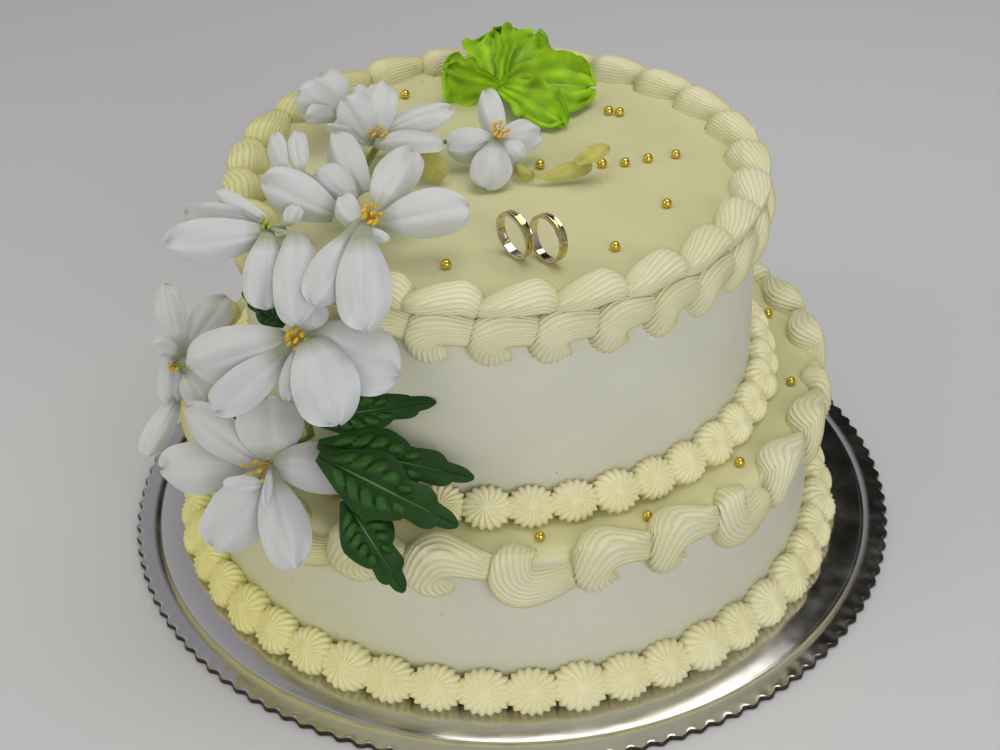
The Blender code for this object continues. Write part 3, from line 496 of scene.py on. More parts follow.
def silk_petal(colour):
    # Sized white satin: soft sheen, faint heat-pressed veins that fan from the claw, and a green-tinted
    # throat. UV u runs from claw to tip and v across.
    made, tree, shader = new_material(
        "silk_petal", colour, Roughness=0.5, Sheen_Weight=0.2, Sheen_Roughness=0.4,
        Subsurface_Weight=0.3, Subsurface_Scale=0.004, Subsurface_Radius=(0.9, 0.95, 1.0),
    )
    sheet = add_node(tree, "ShaderNodeUVMap", uv_map="blade").outputs["UV"]
    stretched = add_node(tree, "ShaderNodeMapping", {"Vector": sheet, "Scale": (1.2, 5.0, 1.0)})
    veins = lumps(tree, stretched.outputs["Vector"], 0.5, 3.0)
    cloth = patchy(tree, veins, 0.3, 0.7, colour, 0.95, 1.03)
    green = (colour[0] * 0.86, colour[1] * 0.9, colour[2] * 0.6, 1)
    throat = spread(tree, split(tree, sheet, "X"), 0.0, 0.2, green, WHITE)
    tree.links.new(mixed(tree, 1.0, cloth, throat, "MULTIPLY"), shader.inputs["Base Color"])
    bumped(tree, shader, veins, 0.5, 0.3)
    return made


def cloth_leaf(name, colour, rib, ribs, gloss):
    # Leaf of dyed polyester, pressed over a hot mould: a fine paler midrib, side veins, painted highlight on
    # the lumps and painted shade in the creases between them, waxy size on top. UV u runs from stalk to tip
    # and v across.
    made, tree, shader = new_material(
        name, colour, Roughness=gloss, IOR=1.3, Subsurface_Weight=0.05, Subsurface_Scale=0.001,
    )
    sheet = add_node(tree, "ShaderNodeUVMap", uv_map="blade").outputs["UV"]
    away = worked(tree, "ABSOLUTE", worked(tree, "SUBTRACT", split(tree, sheet, "Y"), 0.5))
    body = patchy(tree, lumps(tree, object_coordinates(tree), 0.009, 4.0), 0.3, 0.72, colour, 0.75, 1.2)
    # Painted shade and highlight: darker in the creases, lighter on the lumps, by the relief value.
    crease = spread(tree, painted_relief_value(tree), 0.0, 1.0, (0.6, 0.62, 0.6, 1), (1.25, 1.2, 1.1, 1))
    slant = worked(tree, "SUBTRACT", split(tree, sheet, "X"), away)
    wave = worked(tree, "SINE", worked(tree, "MULTIPLY", slant, ribs * math.pi))
    side = mapped(tree, worked(tree, "ABSOLUTE", wave), 0.0, 0.12, 0.4 if ribs else 0.0, 0.0)
    lines = worked(tree, "MAXIMUM", side, mapped(tree, away, 0.01, 0.02, 1.0, 0.0))
    base = mixed(tree, lines, mixed(tree, 1.0, body, crease, "MULTIPLY"), (*rib, 1))
    tree.links.new(base, shader.inputs["Base Color"])
    bumped(tree, shader, lines, 0.3, 0.6)
    return made


def moulded_stem(name, colour):
    # Wire dipped in soft green polythene, with the faint drag marks of the dip.
    made, tree, shader = new_material(name, colour, Roughness=0.45, IOR=1.5)
    drag = lumps(tree, object_coordinates(tree), 0.004, 3.0)
    tree.links.new(patchy(tree, drag, 0.3, 0.7, colour, 0.8, 1.15), shader.inputs["Base Color"])
    return made


def looks(context):
    """Every material, made once."""
    c = context.scene.cake_colours
    makers = {
        "smoothed": lambda: smoothed_buttercream(tuple(c.smoothed), tuple(c.top)),
        "piped": lambda: piped_buttercream("buttercream_piped", tuple(c.piped), tuple(c.groove)),
        # The rosettes' cream is a lighter copy of the piped cream: painted light against the shade at the
        # tiers' feet.
        "foot": lambda: piped_buttercream("buttercream_foot_painted_light", tuple(c.foot), tuple(c.groove)),
        "foil": lambda: foil_on_card(tuple(c.foil)),
        "cut_edge": lambda: cut_card(linear(CUT_EDGE)),
        "pearl": lambda: pearl_lustre(tuple(c.pearl)),
        "ring_gold": lambda: polished_gold("polished_yellow_gold", tuple(c.ring_gold), 0.1),
        "ring_pale": lambda: polished_gold("polished_pale_gold", linear(RING_PALE), 0.08),
        "silk": lambda: silk_petal(tuple(c.silk)),
        "dark_leaf": lambda: cloth_leaf("pressed_dark_leaf", tuple(c.dark_leaf), linear(DARK_RIB), 0, 0.42),
        "bright_leaf": lambda: cloth_leaf(
            "pressed_bright_leaf", tuple(c.bright_leaf), linear(BRIGHT_RIB), 0, 0.5),
        "pale_leaf": lambda: cloth_leaf("pressed_pale_leaf", tuple(c.pale_leaf), linear(PALE_RIB), 4, 0.5),
        "stem": lambda: moulded_stem("polythene_stem", linear(STEM)),
        "orange": lambda: moulded_stem("waxed_stamen_orange", linear(STAMEN_ORANGE)),
        "green": lambda: moulded_stem("waxed_stamen_green", linear(STAMEN_GREEN)),
    }

    def look(key):
        if key not in LOOKS:
            LOOKS[key] = makers[key]()
        return LOOKS[key]

    return look


def added(name, data):
    """An object for this data, linked to the scene."""
    made = bpy.data.objects.new(name, data)
    bpy.context.scene.collection.objects.link(made)
    return made


def piece(name, points, faces, materials=(), uvs=None, indices=None, painted_relief=None, crease=None):
    """A smooth mesh object from points in millimetres.

    Each point may carry a relief value, which the materials read to paint shade and highlight. Edges sharper
    than crease, in degrees, stay sharp.
    """
    mesh = bpy.data.meshes.new(name)
    mesh.from_pydata([(p[0] * MM, p[1] * MM, p[2] * MM) for p in points], [], faces)
    for look in materials:
        mesh.materials.append(look)
    if uvs:
        layer = mesh.uv_layers.new(name="blade")
        layer.data.foreach_set("uv", [c for loop in mesh.loops for c in uvs[loop.vertex_index]])
    if indices:
        mesh.polygons.foreach_set("material_index", indices)
    if painted_relief:
        mesh.attributes.new("painted_relief", "FLOAT", "POINT").data.foreach_set("value", painted_relief)
    if faces:
        mesh.shade_smooth()
    if crease:
        mesh.set_sharp_from_angle(angle=math.radians(crease))
    mesh.update()
    return added(name, mesh)


def placed(obj, slot, *nodes):
    """Rides the piece on the body and hides the solids it stands for."""
    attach(obj, "root")
    if nodes:
        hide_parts(*nodes)
    return obj


def outward(obj):
    """Turns an inside-out closed mesh the right way round."""
    mesh = obj.data
    mesh.calc_loop_triangles()
    corners = [mesh.vertices[i].co for tri in mesh.loop_triangles for i in tri.vertices]
    if sum(a.dot(b.cross(c)) for a, b, c in zip(corners[::3], corners[1::3], corners[2::3])) < 0:
        mesh.flip_normals()
    return obj


def quads(rows, size, closed=False, first=0):
    """The faces of a grid of points. A closed grid joins the end of each row to its start."""
    faces = []
    for i in range(rows - 1):
        for k in range(size if closed else size - 1):
            a, b = first + i * size + k, first + i * size + (k + 1) % size
            faces.append((a, b, b + size, a + size))
    return faces


def caps(rows, size, first=0):
    """The two end faces of a closed grid."""
    last = first + (rows - 1) * size
    return [tuple(reversed(range(first, first + size))), tuple(range(last, last + size))]


def rim_of(rows, size):
    """The numbers of the points round an open grid's rim, in order."""
    rim = list(range(size)) + [i * size + size - 1 for i in range(1, rows)]
    rim += [(rows - 1) * size + k for k in range(size - 2, -1, -1)]
    return rim + [i * size for i in range(rows - 2, 0, -1)]


def normals_of(grid):
    """The normal at each point of a grid, from its neighbours."""
    made = []
    for i, row in enumerate(grid):
        before, after = grid[max(i - 1, 0)], grid[min(i + 1, len(grid) - 1)]
        line = []
        for k in range(len(row)):
            across = row[min(k + 1, len(row) - 1)] - row[max(k - 1, 0)]
            normal = (after[k] - before[k]).cross(across)
            line.append(normal.normalized() if normal.length > 1e-9 else Vector((0, 0, 1)))
        made.append(line)
    return made


def turned(profile, segments, centre_x, stray):
    """Points and faces of a solid of revolution, closed at both ends. stray moves each point a little."""
    points = []
    for r, z in profile:
        for k in range(segments):
            a = 2 * math.pi * k / segments
            p = Vector((r * math.cos(a), r * math.sin(a), z))
            points.append(p + stray(p) + Vector((centre_x, 0, 0)))
    return points, quads(len(profile), segments, True) + caps(len(profile), segments)


def catmull(values, t):
    """A smooth curve through equal-spaced tuples, at t from 0 to 1."""
    x = t * (len(values) - 1)
    i = min(int(x), len(values) - 2)
    f = x - i
    p1, p2 = values[i], values[i + 1]
    p0 = values[i - 1] if i else tuple(2 * a - b for a, b in zip(p1, p2))
    p3 = values[i + 2] if i + 2 < len(values) else tuple(2 * b - a for a, b in zip(p1, p2))
    return tuple(
        0.5 * (2 * b + (c - a) * f + (2 * a - 5 * b + 4 * c - d) * f * f + (3 * b - a - 3 * c + d) * f ** 3)
        for a, b, c, d in zip(p0, p1, p2, p3)
    )


def over_edge(along, down, height, radius, top):
    """A point this far along a tier, down over its edge and out from its surface, about the tier's axis."""
    lean = min(max(0.5 + down / EDGE_ROLL, 0.0), 1.0) * math.pi / 2
    r = radius + min(down, 0.0) + height * math.sin(lean)
    a = along / radius
    return Vector((r * math.cos(a), r * math.sin(a), top - max(down, 0.0) + height * math.cos(lean)))


def sink_of(p, radius, top):
    """The way from a point on a tier's skin into the cream."""
    out = Vector((p.x, p.y, 0)).normalized()
    side = max(min((math.hypot(p.x, p.y) - radius + 6) / 8, 1), 0)
    over = max(min((p.z - top + 6) / 8, 1), 0)
    return -(out * side + Vector((0, 0, over))) * PIPING_SINK


def scroll_shape(name, net, radius, top, ridges, along, depth, flip=None):
    """One piped scroll at angle 0: ridges that fan from its tail to the rim of its head.

    A skirt is sunk into the cream under it. flip is the height on the wall about which the scroll is turned
    over.
    """
    samples = ridges * RIDGE_POINTS
    turns = [math.pi * k / samples for k in range(samples + 1)]
    across = [0.5 - 0.5 * math.cos(a) for a in turns]
    domes = [0, *(math.sin(a) ** 0.85 for a in turns[1:-1]), 0]
    wave = [abs(math.sin(ridges * a)) ** 0.75 for a in turns]
    heights = [(h,) for _, h in net]
    rows, crests = [], []
    for i in range(along + 1):
        u = i / along
        head = math.sqrt(max(1 - max((u - 0.72) / 0.28, 0) ** 2.2, 0))
        high = catmull(heights, u)[0] * head * (0.55 + 0.45 * min(u / 0.06, 1))
        line = []
        for v, dome in zip(across, domes):
            s, q = catmull([catmull(points, v) for points, _ in net], u)
            q = q if flip is None else 2 * flip - q
            line.append(over_edge(s, q, high * dome + 0.1, radius, top))
        rows.append(line)
        crests.append([1 - (1 - w) * min(u * along / 3, 1) for w in wave])
    way = -depth if flip is None else depth
    points, shading_tones = [], []
    for line, normals, marks in zip(rows, normals_of(rows), crests):
        points += [p - n * (way * (1 - c)) for p, n, c in zip(line, normals, marks)]
        shading_tones += marks
    rim, first = rim_of(along + 1, samples + 1), len(points)
    sunk = [points[a] + sink_of(points[a], radius, top) for a in rim]
    points += sunk + [sum(sunk, Vector()) / len(sunk)]
    faces, middle = quads(along + 1, samples + 1), len(points) - 1
    for n, a in enumerate(rim):
        m = (n + 1) % len(rim)
        faces += [(a, first + n, first + m, rim[m]), (first + n, middle, first + m)]
    # The crests' values go on the points for painted shade: darker in the grooves and on the sunk skirt.
    return outward(piece(name, points, faces, painted_relief=shading_tones + [0.3] * (len(sunk) + 1)))


def rosette_shape(name, half, wall, floor, ridges, depth, twist):
    """One piped rosette at angle 0: a flat star shell in the corner between a wall and a ledge.

    It faces out and up, and its ridges' ends stand out round the rim.
    """
    spokes, tilt, broad, tall = ridges * RIDGE_POINTS, math.radians(40), 1.17, 0.97
    face, side = Vector((math.cos(tilt), 0, math.sin(tilt))), Vector((0, 1, 0))
    up = face.cross(side)
    centre = Vector((wall + half * math.sin(tilt) * 0.95, 0, floor + half * math.cos(tilt) * 0.95))
    slopes = [math.pi / 2 * i / 13 for i in range(1, 13)]
    profile = [(math.sin(a) ** 0.85, 0.58 * math.cos(a) ** 0.6) for a in slopes]
    profile += [(1.0, 0.0), (1.0, -0.12), (0.92, -0.34), (0.7, -0.6)]
    groove = [1 - abs(1 - 2 * (k % RIDGE_POINTS) / RIDGE_POINTS) ** 0.9 for k in range(spokes)]
    points, shading_tones = [], []
    for r, lift in profile:
        grow = min(max((r - 0.12) / 0.26, 0), 1)
        for k in range(spokes):
            a = 2 * math.pi * k / spokes + (twist * (1 - r) if lift > 0 else 0)
            cut = groove[k] * grow * depth
            reach = half * r - cut * max(r - 0.4, 0) * 1.9
            out = (side * (broad * math.cos(a)) + up * (tall * math.sin(a))) * reach
            points.append(centre + out + face * (half * lift - cut * (1 - 0.5 * r)))
            # Painted shade: the grooves get a lower relief value, which darkens them.
            shading_tones.append(1 - 0.4 * groove[k] * grow)
    faces = quads(len(profile), spokes, True)
    pole, last = len(points), len(points) - spokes
    points += [centre + face * (half * 0.6), centre - face * (half * 0.7)]
    for k in range(spokes):
        n = (k + 1) % spokes
        faces += [(pole, n, k), (last + k, last + n, pole + 1)]
    return outward(piece(name, points, faces, painted_relief=shading_tones + [1.0, 0.3]))


def new_tree(name, inputs):
    """An empty Geometry Nodes tree with these named inputs, and the sockets they feed."""
    tree = bpy.data.node_groups.new(name, "GeometryNodeTree")
    tree.interface.new_socket("Geometry", in_out="OUTPUT", socket_type="NodeSocketGeometry")
    for label, kind in inputs.items():
        tree.interface.new_socket(label, in_out="INPUT", socket_type="NodeSocket" + kind)
    return tree, add_node(tree, "NodeGroupInput").outputs


def dressed(tree, geometry, finish):
    """Ends a tree: smooth shading, then the material."""
    soft = add_node(tree, "GeometryNodeSetShadeSmooth", {"Geometry": geometry}).outputs[0]
    done = add_node(tree, "GeometryNodeSetMaterial", {"Geometry": soft, "Material": finish}).outputs[0]
    add_node(tree, "NodeGroupOutput", {"Geometry": done})
    return tree


def border_tree():
    """Geometry Nodes: piped shapes set round an upright axis, some from the second shape, as one mesh."""
    tree, into = new_tree("piped_border", {
        "Geometry": "Geometry", "Shape": "Object", "Other Shape": "Object", "Count": "Int",
        "Other Every": "Int", "Turn": "Float", "Sway": "Float", "Centre X": "Float",
        "Unevenness": "Float", "Seed": "Float", "Cream": "Material",
    })
    centre = add_node(tree, "ShaderNodeCombineXYZ", {"X": into["Centre X"]}).outputs[0]
    dots = add_node(tree, "GeometryNodePoints", {"Count": into["Count"], "Position": centre}).outputs[0]
    number = add_node(tree, "GeometryNodeInputIndex").outputs[0]
    share = worked(tree, "DIVIDE", number, into["Count"])
    angle = worked(tree, "MULTIPLY_ADD", share, 2 * math.pi, into["Turn"])
    luck = add_node(tree, "FunctionNodeRandomValue", {2: -1.0, 3: 1.0}).outputs[1]
    swayed = worked(tree, "MULTIPLY_ADD", luck, into["Sway"], angle)
    euler = add_node(tree, "ShaderNodeCombineXYZ", {"Z": swayed}).outputs[0]
    turn = add_node(tree, "FunctionNodeEulerToRotation", {"Euler": euler}).outputs[0]
    links = {0: number, 1: into["Other Every"]}
    rest = add_node(tree, "FunctionNodeIntegerMath", links, operation="FLOORED_MODULO").outputs[0]
    links = {2: rest, 3: 2}
    other = add_node(tree, "FunctionNodeCompare", links, data_type="INT", operation="EQUAL").outputs[0]
    plain = add_node(tree, "FunctionNodeBooleanMath", {0: other}, operation="NOT").outputs[0]
    both = add_node(tree, "GeometryNodeJoinGeometry")
    for label, chosen in (("Shape", plain), ("Other Shape", other)):
        shape = add_node(tree, "GeometryNodeObjectInfo", {"Object": into[label]}).outputs["Geometry"]
        links = {"Points": dots, "Selection": chosen, "Instance": shape, "Rotation": turn}
        copies = add_node(tree, "GeometryNodeInstanceOnPoints", links).outputs[0]
        tree.links.new(copies, both.inputs[0])
    real = add_node(tree, "GeometryNodeRealizeInstances", {0: both.outputs[0]}).outputs[0]
    links = {"W": into["Seed"], "Scale": 1 / 0.019, "Detail": 1.0}
    stray = add_node(tree, "ShaderNodeTexNoise", links, noise_dimensions="4D").outputs["Color"]
    links = {0: stray, 1: (0.5, 0.5, 0.5)}
    middle = add_node(tree, "ShaderNodeVectorMath", links, operation="SUBTRACT").outputs[0]
    links = {0: middle, "Scale": into["Unevenness"]}
    offset = add_node(tree, "ShaderNodeVectorMath", links, operation="SCALE").outputs[0]
    moved = add_node(tree, "GeometryNodeSetPosition", {"Geometry": real, "Offset": offset}).outputs[0]
    return dressed(tree, moved, into["Cream"])


def pearl_tree():
    """Geometry Nodes: a smooth sugar pearl on each point, each of a slightly different size."""
    inputs = {"Geometry": "Geometry", "Radius": "Float", "Seed": "Int", "Lustre": "Material"}
    tree, into = new_tree("sugar_pearls", inputs)
    links = {"Segments": 24, "Rings": 14, "Radius": into["Radius"]}
    ball = add_node(tree, "GeometryNodeMeshUVSphere", links).outputs["Mesh"]
    size = add_node(tree, "FunctionNodeRandomValue", {2: 0.94, 3: 1.0, "Seed": into["Seed"]}).outputs[1]
    links = {"Points": into["Geometry"], "Instance": ball, "Scale": size}
    copies = add_node(tree, "GeometryNodeInstanceOnPoints", links).outputs[0]
    real = add_node(tree, "GeometryNodeRealizeInstances", {0: copies}).outputs[0]
    return dressed(tree, real, into["Lustre"])


def grown(name, maker, values, points=((0, 0, 0),)):
    """Runs a Geometry Nodes tree on these points and keeps the result as a plain mesh object."""
    if maker not in TREES:
        TREES[maker] = maker()
    holder = piece(name + "_source", points, [])
    modifier = holder.modifiers.new("grow", "NODES")
    modifier.node_group = TREES[maker]
    for item in TREES[maker].interface.items_tree:
        if item.name in values and item.in_out == "INPUT":
            modifier[item.identifier] = values[item.name]
    bpy.context.view_layer.update()
    mesh = bpy.data.meshes.new_from_object(holder.evaluated_get(bpy.context.evaluated_depsgraph_get()))
    mesh.name = name
    bpy.data.objects.remove(holder, do_unlink=True)
    return added(name, mesh)


def grow_border(name, node, shapes, count, turn, centre_x, seed, context, cream="piped", every=1, sway=0.3):
    """One border: its shapes set round the tier, then removed. Turn and sway are in degrees."""
    values = {
        "Shape": shapes[0], "Other Shape": shapes[-1], "Count": count, "Other Every": every,
        "Turn": math.radians(turn), "Sway": math.radians(sway), "Centre X": centre_x * MM,
        "Unevenness": 2 * context.scene.cake_sizes.unevenness, "Seed": seed, "Cream": looks(context)(cream),
    }
    made = grown(name, border_tree, values)
    for shape in shapes:
        bpy.data.objects.remove(shape, do_unlink=True)
    placed(made, "buttercream", node)


def half_width(u, kind, hand=0):
    """Share of the full half width of a blade at this share of its length, on its left or right hand."""
    if kind == "leaf":
        if u < 0.42:
            base = 0.22 + 0.78 * math.sin(u / 0.42 * math.pi / 2)
        else:
            base = max((1 - u) / 0.58, 0) ** 0.6
        marks = [-0.2, 0.62 + 0.05 * hand, 0.84 + 0.03 * hand, 1.02]
        lobe = next((k for k in range(3) if u < marks[k + 1]), 2)
        phase = min(max((u - marks[lobe]) / (marks[lobe + 1] - marks[lobe]), 0), 1)
        return base * (0.72 + 0.32 * max(math.sin(math.pi * phase ** 2.6), 0) ** 0.55)
    if kind == "lobe":
        if u < 0.66:
            base = 0.3 + 0.9 * math.sin(u / 0.66 * math.pi / 2)
        else:
            base = 1.2 * math.sqrt(max(1 - ((u - 0.66) / 0.34) ** 2, 0))
        return base * (0.9 + 0.13 * abs(math.sin(13 * u + hand)) ** 0.7)
    if u < 0.56:
        rise = (u / 0.56) ** 1.1
        return 0.42 + 0.6 * rise * (2 - rise)
    power = 2.3 + 0.4 * hand
    return 1.02 * max(1 - ((u - 0.56) / 0.44) ** power, 0) ** (1 / power)


def bulge(u):
    """Rises from near nothing at a blade's ends to 1 in its middle."""
    return math.sqrt(math.sin(math.pi * min(max(u, 0.02), 0.98)))


def petal_lift(u, w, width, chance, ruffle):
    """How far a petal's face stands off: a crease, a soft fold, a waving rim and a tip rolled back."""
    lift = -0.065 * width * math.exp(-(w / 0.16) ** 2) * bulge(u) * (1 - 0.5 * u)
    lift += 0.5 * math.sin(4.5 * w + 6 * chance[0] + 2.5 * u) * bulge(u)
    lift += ruffle * abs(w) ** 3 * math.sin(8.5 * u + 9 * chance[1] + (2.2 if w > 0 else 0)) * u
    lift += ruffle * max(u - 0.66, 0) / 0.34 * math.sin(4.0 * w + 8 * chance[2])
    return lift - 0.1 * width * max(u - 0.8, 0) ** 2 / 0.04 * (0.6 + chance[4])


def lobe_lift(u, w, chance, high):
    """How far the ruffled leaf's face stands off: a waving rim, a frilled end and its lumps."""
    lift = 2.6 * w * w * math.sin(17 * u + 3 * chance[1] + (1.6 if w > 0 else 0)) * min(u * 3, 1)
    lift += 1.8 * max(u - 0.5, 0) / 0.5 * math.sin(9 * w + 5 * chance[2])
    return lift + 1.2 * high * bulge(u)


def pea_bumps(u, w):
    """How high the pressed lumps either side of a dark leaf's midrib stand, from 0 to 1 at their tops."""
    best = 0.0
    for k in range(5):
        du = (u - 0.1 * abs(w) - 0.12 - 0.108 * k - (0.02 if w > 0 else 0)) / (0.054 - 0.003 * k)
        dw = (abs(w) - 0.46) / (0.36 - 0.03 * k)
        best = max(best, 1 - du * du - dw * dw)
    return math.sqrt(best)


def blade_grid(spec, kind, hub, seed, wave, rows, columns):
    """The middle surface of a bowed, cupped and ruffled blade from a narrow claw at its hub.

    It comes as rows of points, with their UVs and how high each point is pressed.
    """
    base, tip, side, width, bow, cup = spec
    base, tip, side = Vector(base), Vector(tip), Vector(side).normalized()
    face = side.cross((tip - base).normalized())
    chance = [noise.noise(Vector((seed * 1.7, k * 3.1, 0.5))) for k in range(6)]
    across = [2 * k / columns - 1 for k in range(columns + 1)]
    grid, uvs, shading_tones = [], [], []
    for i in range(rows + 1):
        u = 1 - (1 - i / rows) ** 1.5
        line, highs = [], []
        for w in across:
            reach, high, lift = u, 0.5, 4 * bow * u * (1 - u) + cup * w * w * bulge(u)
            if kind == "leaf":
                high = pea_bumps(u, w)
                lift += (2.4 * high - 0.7 * math.exp(-(w / 0.07) ** 2)) * min(width / 22, 1)
            elif kind == "lobe":
                notch = abs(math.sin(6.5 * w + 3 * chance[3])) ** 0.6
                reach = u - 0.09 * max(u - 0.6, 0) / 0.4 * notch
                high = 0.5 + 0.3 * math.sin(11 * w + 4 * chance[0])
                high += 0.5 * noise.noise(Vector((3 * w, 4 * u, seed)))
                lift += lobe_lift(u, w, chance, high)
            else:
                lift += petal_lift(u, w, width, chance, wave * min(width / 20, 1.3))
            half = half_width(min(u, 0.9985), kind, 1 if w > 0 else -1) * width / 2
            line.append(base.lerp(tip, reach) + side * (w * half) + face * lift)
            highs.append(high)
        grid.append(line)
        uvs.append([(u, (w + 1) / 2) for w in across])
        # The pressed heights also go on the points, where the leaf materials read them for painted shade and
        # highlight.
        shading_tones.append(highs)
    if (base - hub).length > 2.0:
        root, narrow = hub + (base - hub).normalized() * 1.5, min(0.4 * width, 6.0) / 2
        claw = []
        for step in (0.0, 0.35, 0.7):
            half = narrow + (half_width(0, kind) * width / 2 - narrow) * step ** 2
            spot = root.lerp(base, step)
            claw.append([spot + side * (w * half) + face * (cup * 0.25 * w * w) for w in across])
        grid = claw + grid
        uvs = [[(0.0, k / columns) for k in range(columns + 1)]] * 3 + uvs
        shading_tones = [shading_tones[0]] * 3 + shading_tones
    return grid, uvs, shading_tones


def thin_sheet(grid, uvs, shading_tones, thick, skin):
    """Adds a grid's closed skin, this thick, to a mesh in the making."""
    points, faces, marks, highs = skin
    count, size, first = len(grid), len(grid[0]), len(points)
    under, normals = first + count * size, normals_of(grid)
    for sign in (1, -1):
        for i, row in enumerate(grid):
            points += [p + n * (sign * thick / 2) for p, n in zip(row, normals[i])]
            marks += uvs[i]
            highs += shading_tones[i]
    faces += [(a, d, c, b) for a, b, c, d in quads(count, size, first=first)]
    faces += quads(count, size, first=under)
    rim = rim_of(count, size)
    for a, b in zip(rim, rim[1:] + rim[:1]):
        faces.append((first + a, first + b, under + b, under + a))


def tube_points(path, radii, sides, points, faces):
    """Adds a round wire of changing radius, with closed ends, to a mesh in the making."""
    path = [Vector(p) for p in path]
    side = (path[1] - path[0]).orthogonal().normalized()
    faces += quads(len(path), sides, True, len(points)) + caps(len(path), sides, len(points))
    for i, p in enumerate(path):
        along = (path[min(i + 1, len(path) - 1)] - path[max(i - 1, 0)]).normalized()
        side = (side - along * side.dot(along)).normalized()
        other = along.cross(side)
        for a in (2 * math.pi * k / sides for k in range(sides)):
            points.append(p + (side * math.cos(a) + other * math.sin(a)) * radii[i])


def wire(start, end, sag, points, faces, steps=8):
    """A slightly curved wire between two points."""
    start, end = Vector(start), Vector(end)
    bend = (end - start).cross(Vector((0.3, 0.2, 1))).normalized() * sag
    path = [start.lerp(end, k / steps) + bend * math.sin(math.pi * k / steps) for k in range(steps + 1)]
    tube_points(path, [TWIG_RADIUS] * (steps + 1), 10, points, faces)


class CAKE_OT_board(bpy.types.Operator):
    """Makes the foil board with its waved rim and its pressed line"""

    bl_idname = "cake.board"
    bl_label = "Foil board"

    def execute(self, context):
        sizes, look = context.scene.cake_sizes, looks(context)
        radius, depth, count = sizes.board_radius / MM, sizes.scallop_depth / MM, sizes.scallops
        segments = count * POINTS_A_SCALLOP
        insets = ((1.0, 0.0), (0.2, 0.3), (0.0, 1.2), (0.1, 2.2), (0.6, 2.75))
        edge = [(radius - inset, z) for inset, z in insets]
        flat = [(radius - inset, BOARD_THICK) for inset in (1.6, 4, 8)]
        profile = edge + flat + [*PRESSED_LINE, (170, BOARD_THICK), (150, BOARD_THICK)]

        def waved(p):
            r = math.hypot(p.x, p.y)
            near = max(min((r - (radius - 9)) / 7, 1), 0)
            notch = 0.5 + 0.5 * math.cos(count * math.atan2(p.y, p.x))
            dip = 0.3 * near * (1 - notch) if p.z > 2.9 else 0
            return Vector((p.x, p.y, 0)) * (-near * depth * notch / r) - Vector((0, 0, dip))

        points, faces = turned(profile, segments, 0, waved)
        rows = len(profile) - 1
        indices = [1 if row < len(edge) - 1 else 0 for row in range(rows) for k in range(segments)] + [1, 0]
        finish = [look("foil"), look("cut_edge")]
        board = piece("foil_board", points, faces, finish, indices=indices, crease=35)
        placed(outward(board), "silver_foil", "board")
        return {"FINISHED"}


class CAKE_OT_tiers(bpy.types.Operator):
    """Makes the smoothed tiers and lays the gold pearls on them"""

    bl_idname = "cake.tiers"
    bl_label = "Smoothed tiers and pearls"

    def execute(self, context):
        look, radius = looks(context), context.scene.cake_sizes.pearl_radius
        self.tier("lower", LOWER_X, LOWER_RADIUS, LOWER_RADIUS, BOARD_THICK + 0.3, LOWER_TOP, look)
        self.pearls("lower", LOWER_X, LOWER_TOP, LOWER_PEARLS, radius, look)
        self.tier("upper", UPPER_X, UPPER_FOOT, UPPER_RADIUS, LOWER_TOP - 1.5, UPPER_TOP, look)
        self.pearls("upper", UPPER_X, UPPER_TOP, UPPER_PEARLS, radius, look)
        return {"FINISHED"}

    def tier(self, name, x, foot, wall, bottom, top, look):
        """One tier: a wall that leans a little, a soft edge and a flat top, all slightly uneven."""
        soft, start = 7.0, bottom + 0.5

        def knifed(p):
            on_wall = math.hypot(p.x, p.y) > 100
            most, length = WALL_STRAY if on_wall else TOP_STRAY
            way = Vector((p.x, p.y, 0)).normalized() if on_wall else Vector((0, 0, 1))
            return way * (most * noise.noise(p / length))

        profile = [(foot - 4, bottom), (foot, start)]
        for share in (k / 12 for k in range(1, 13)):
            profile.append((foot + (wall - foot) * share, start + (top - soft - start) * share))
        for a in (math.pi / 2 * k / 8 for k in range(1, 9)):
            profile.append((wall - soft + soft * math.cos(a), top - soft + soft * math.sin(a)))
        profile += [((wall - soft) * (1 - k / 14), top) for k in range(1, 14)] + [(1.0, top)]
        points, faces = turned(profile, TIER_SEGMENTS, x, knifed)
        made = piece(name + "_tier_cream", points, faces, [look("smoothed")])
        placed(outward(made), "buttercream", name + "_tier")

    def pearls(self, name, x, top, spots, radius, look):
        """The sugar pearls on one tier, each pressed a little way into the cream."""
        dots = [(x + px, py, top + radius / MM - PEARL_SINK) for px, py in spots]
        values = {"Radius": radius, "Seed": 4, "Lustre": look("pearl")}
        placed(grown(name + "_pearls", pearl_tree, values, dots), "gold_metal", name + "_tier")


class CAKE_OT_rosettes(bpy.types.Operator):
    """Pipes the rosettes round the foot of each tier"""

    bl_idname = "cake.rosettes"
    bl_label = "Rosette borders"

    def execute(self, context):
        sizes = context.scene.cake_sizes
        depth = sizes.ridge_depth / MM * 1.15
        for tier, count, turn, x, wall, floor, half, seed in (
            ("lower", sizes.lower_rosettes, -94.3, LOWER_X, LOWER_RADIUS, BOARD_THICK, 11.6, 1.0),
            ("upper", sizes.upper_rosettes, -84.6, UPPER_X, UPPER_FOOT, LOWER_TOP, 10.2, 2.0),
        ):
            name = tier + "_rosettes"
            plain = rosette_shape(name + "_one", half, wall, floor, 19, depth, 0.25)
            other = rosette_shape(name + "_two", half * 1.04, wall, floor, 18, depth, -0.3)
            grow_border(name, tier + "_base_border", [plain, other], count, turn, x, seed, context, "foot", 3)
        return {"FINISHED"}


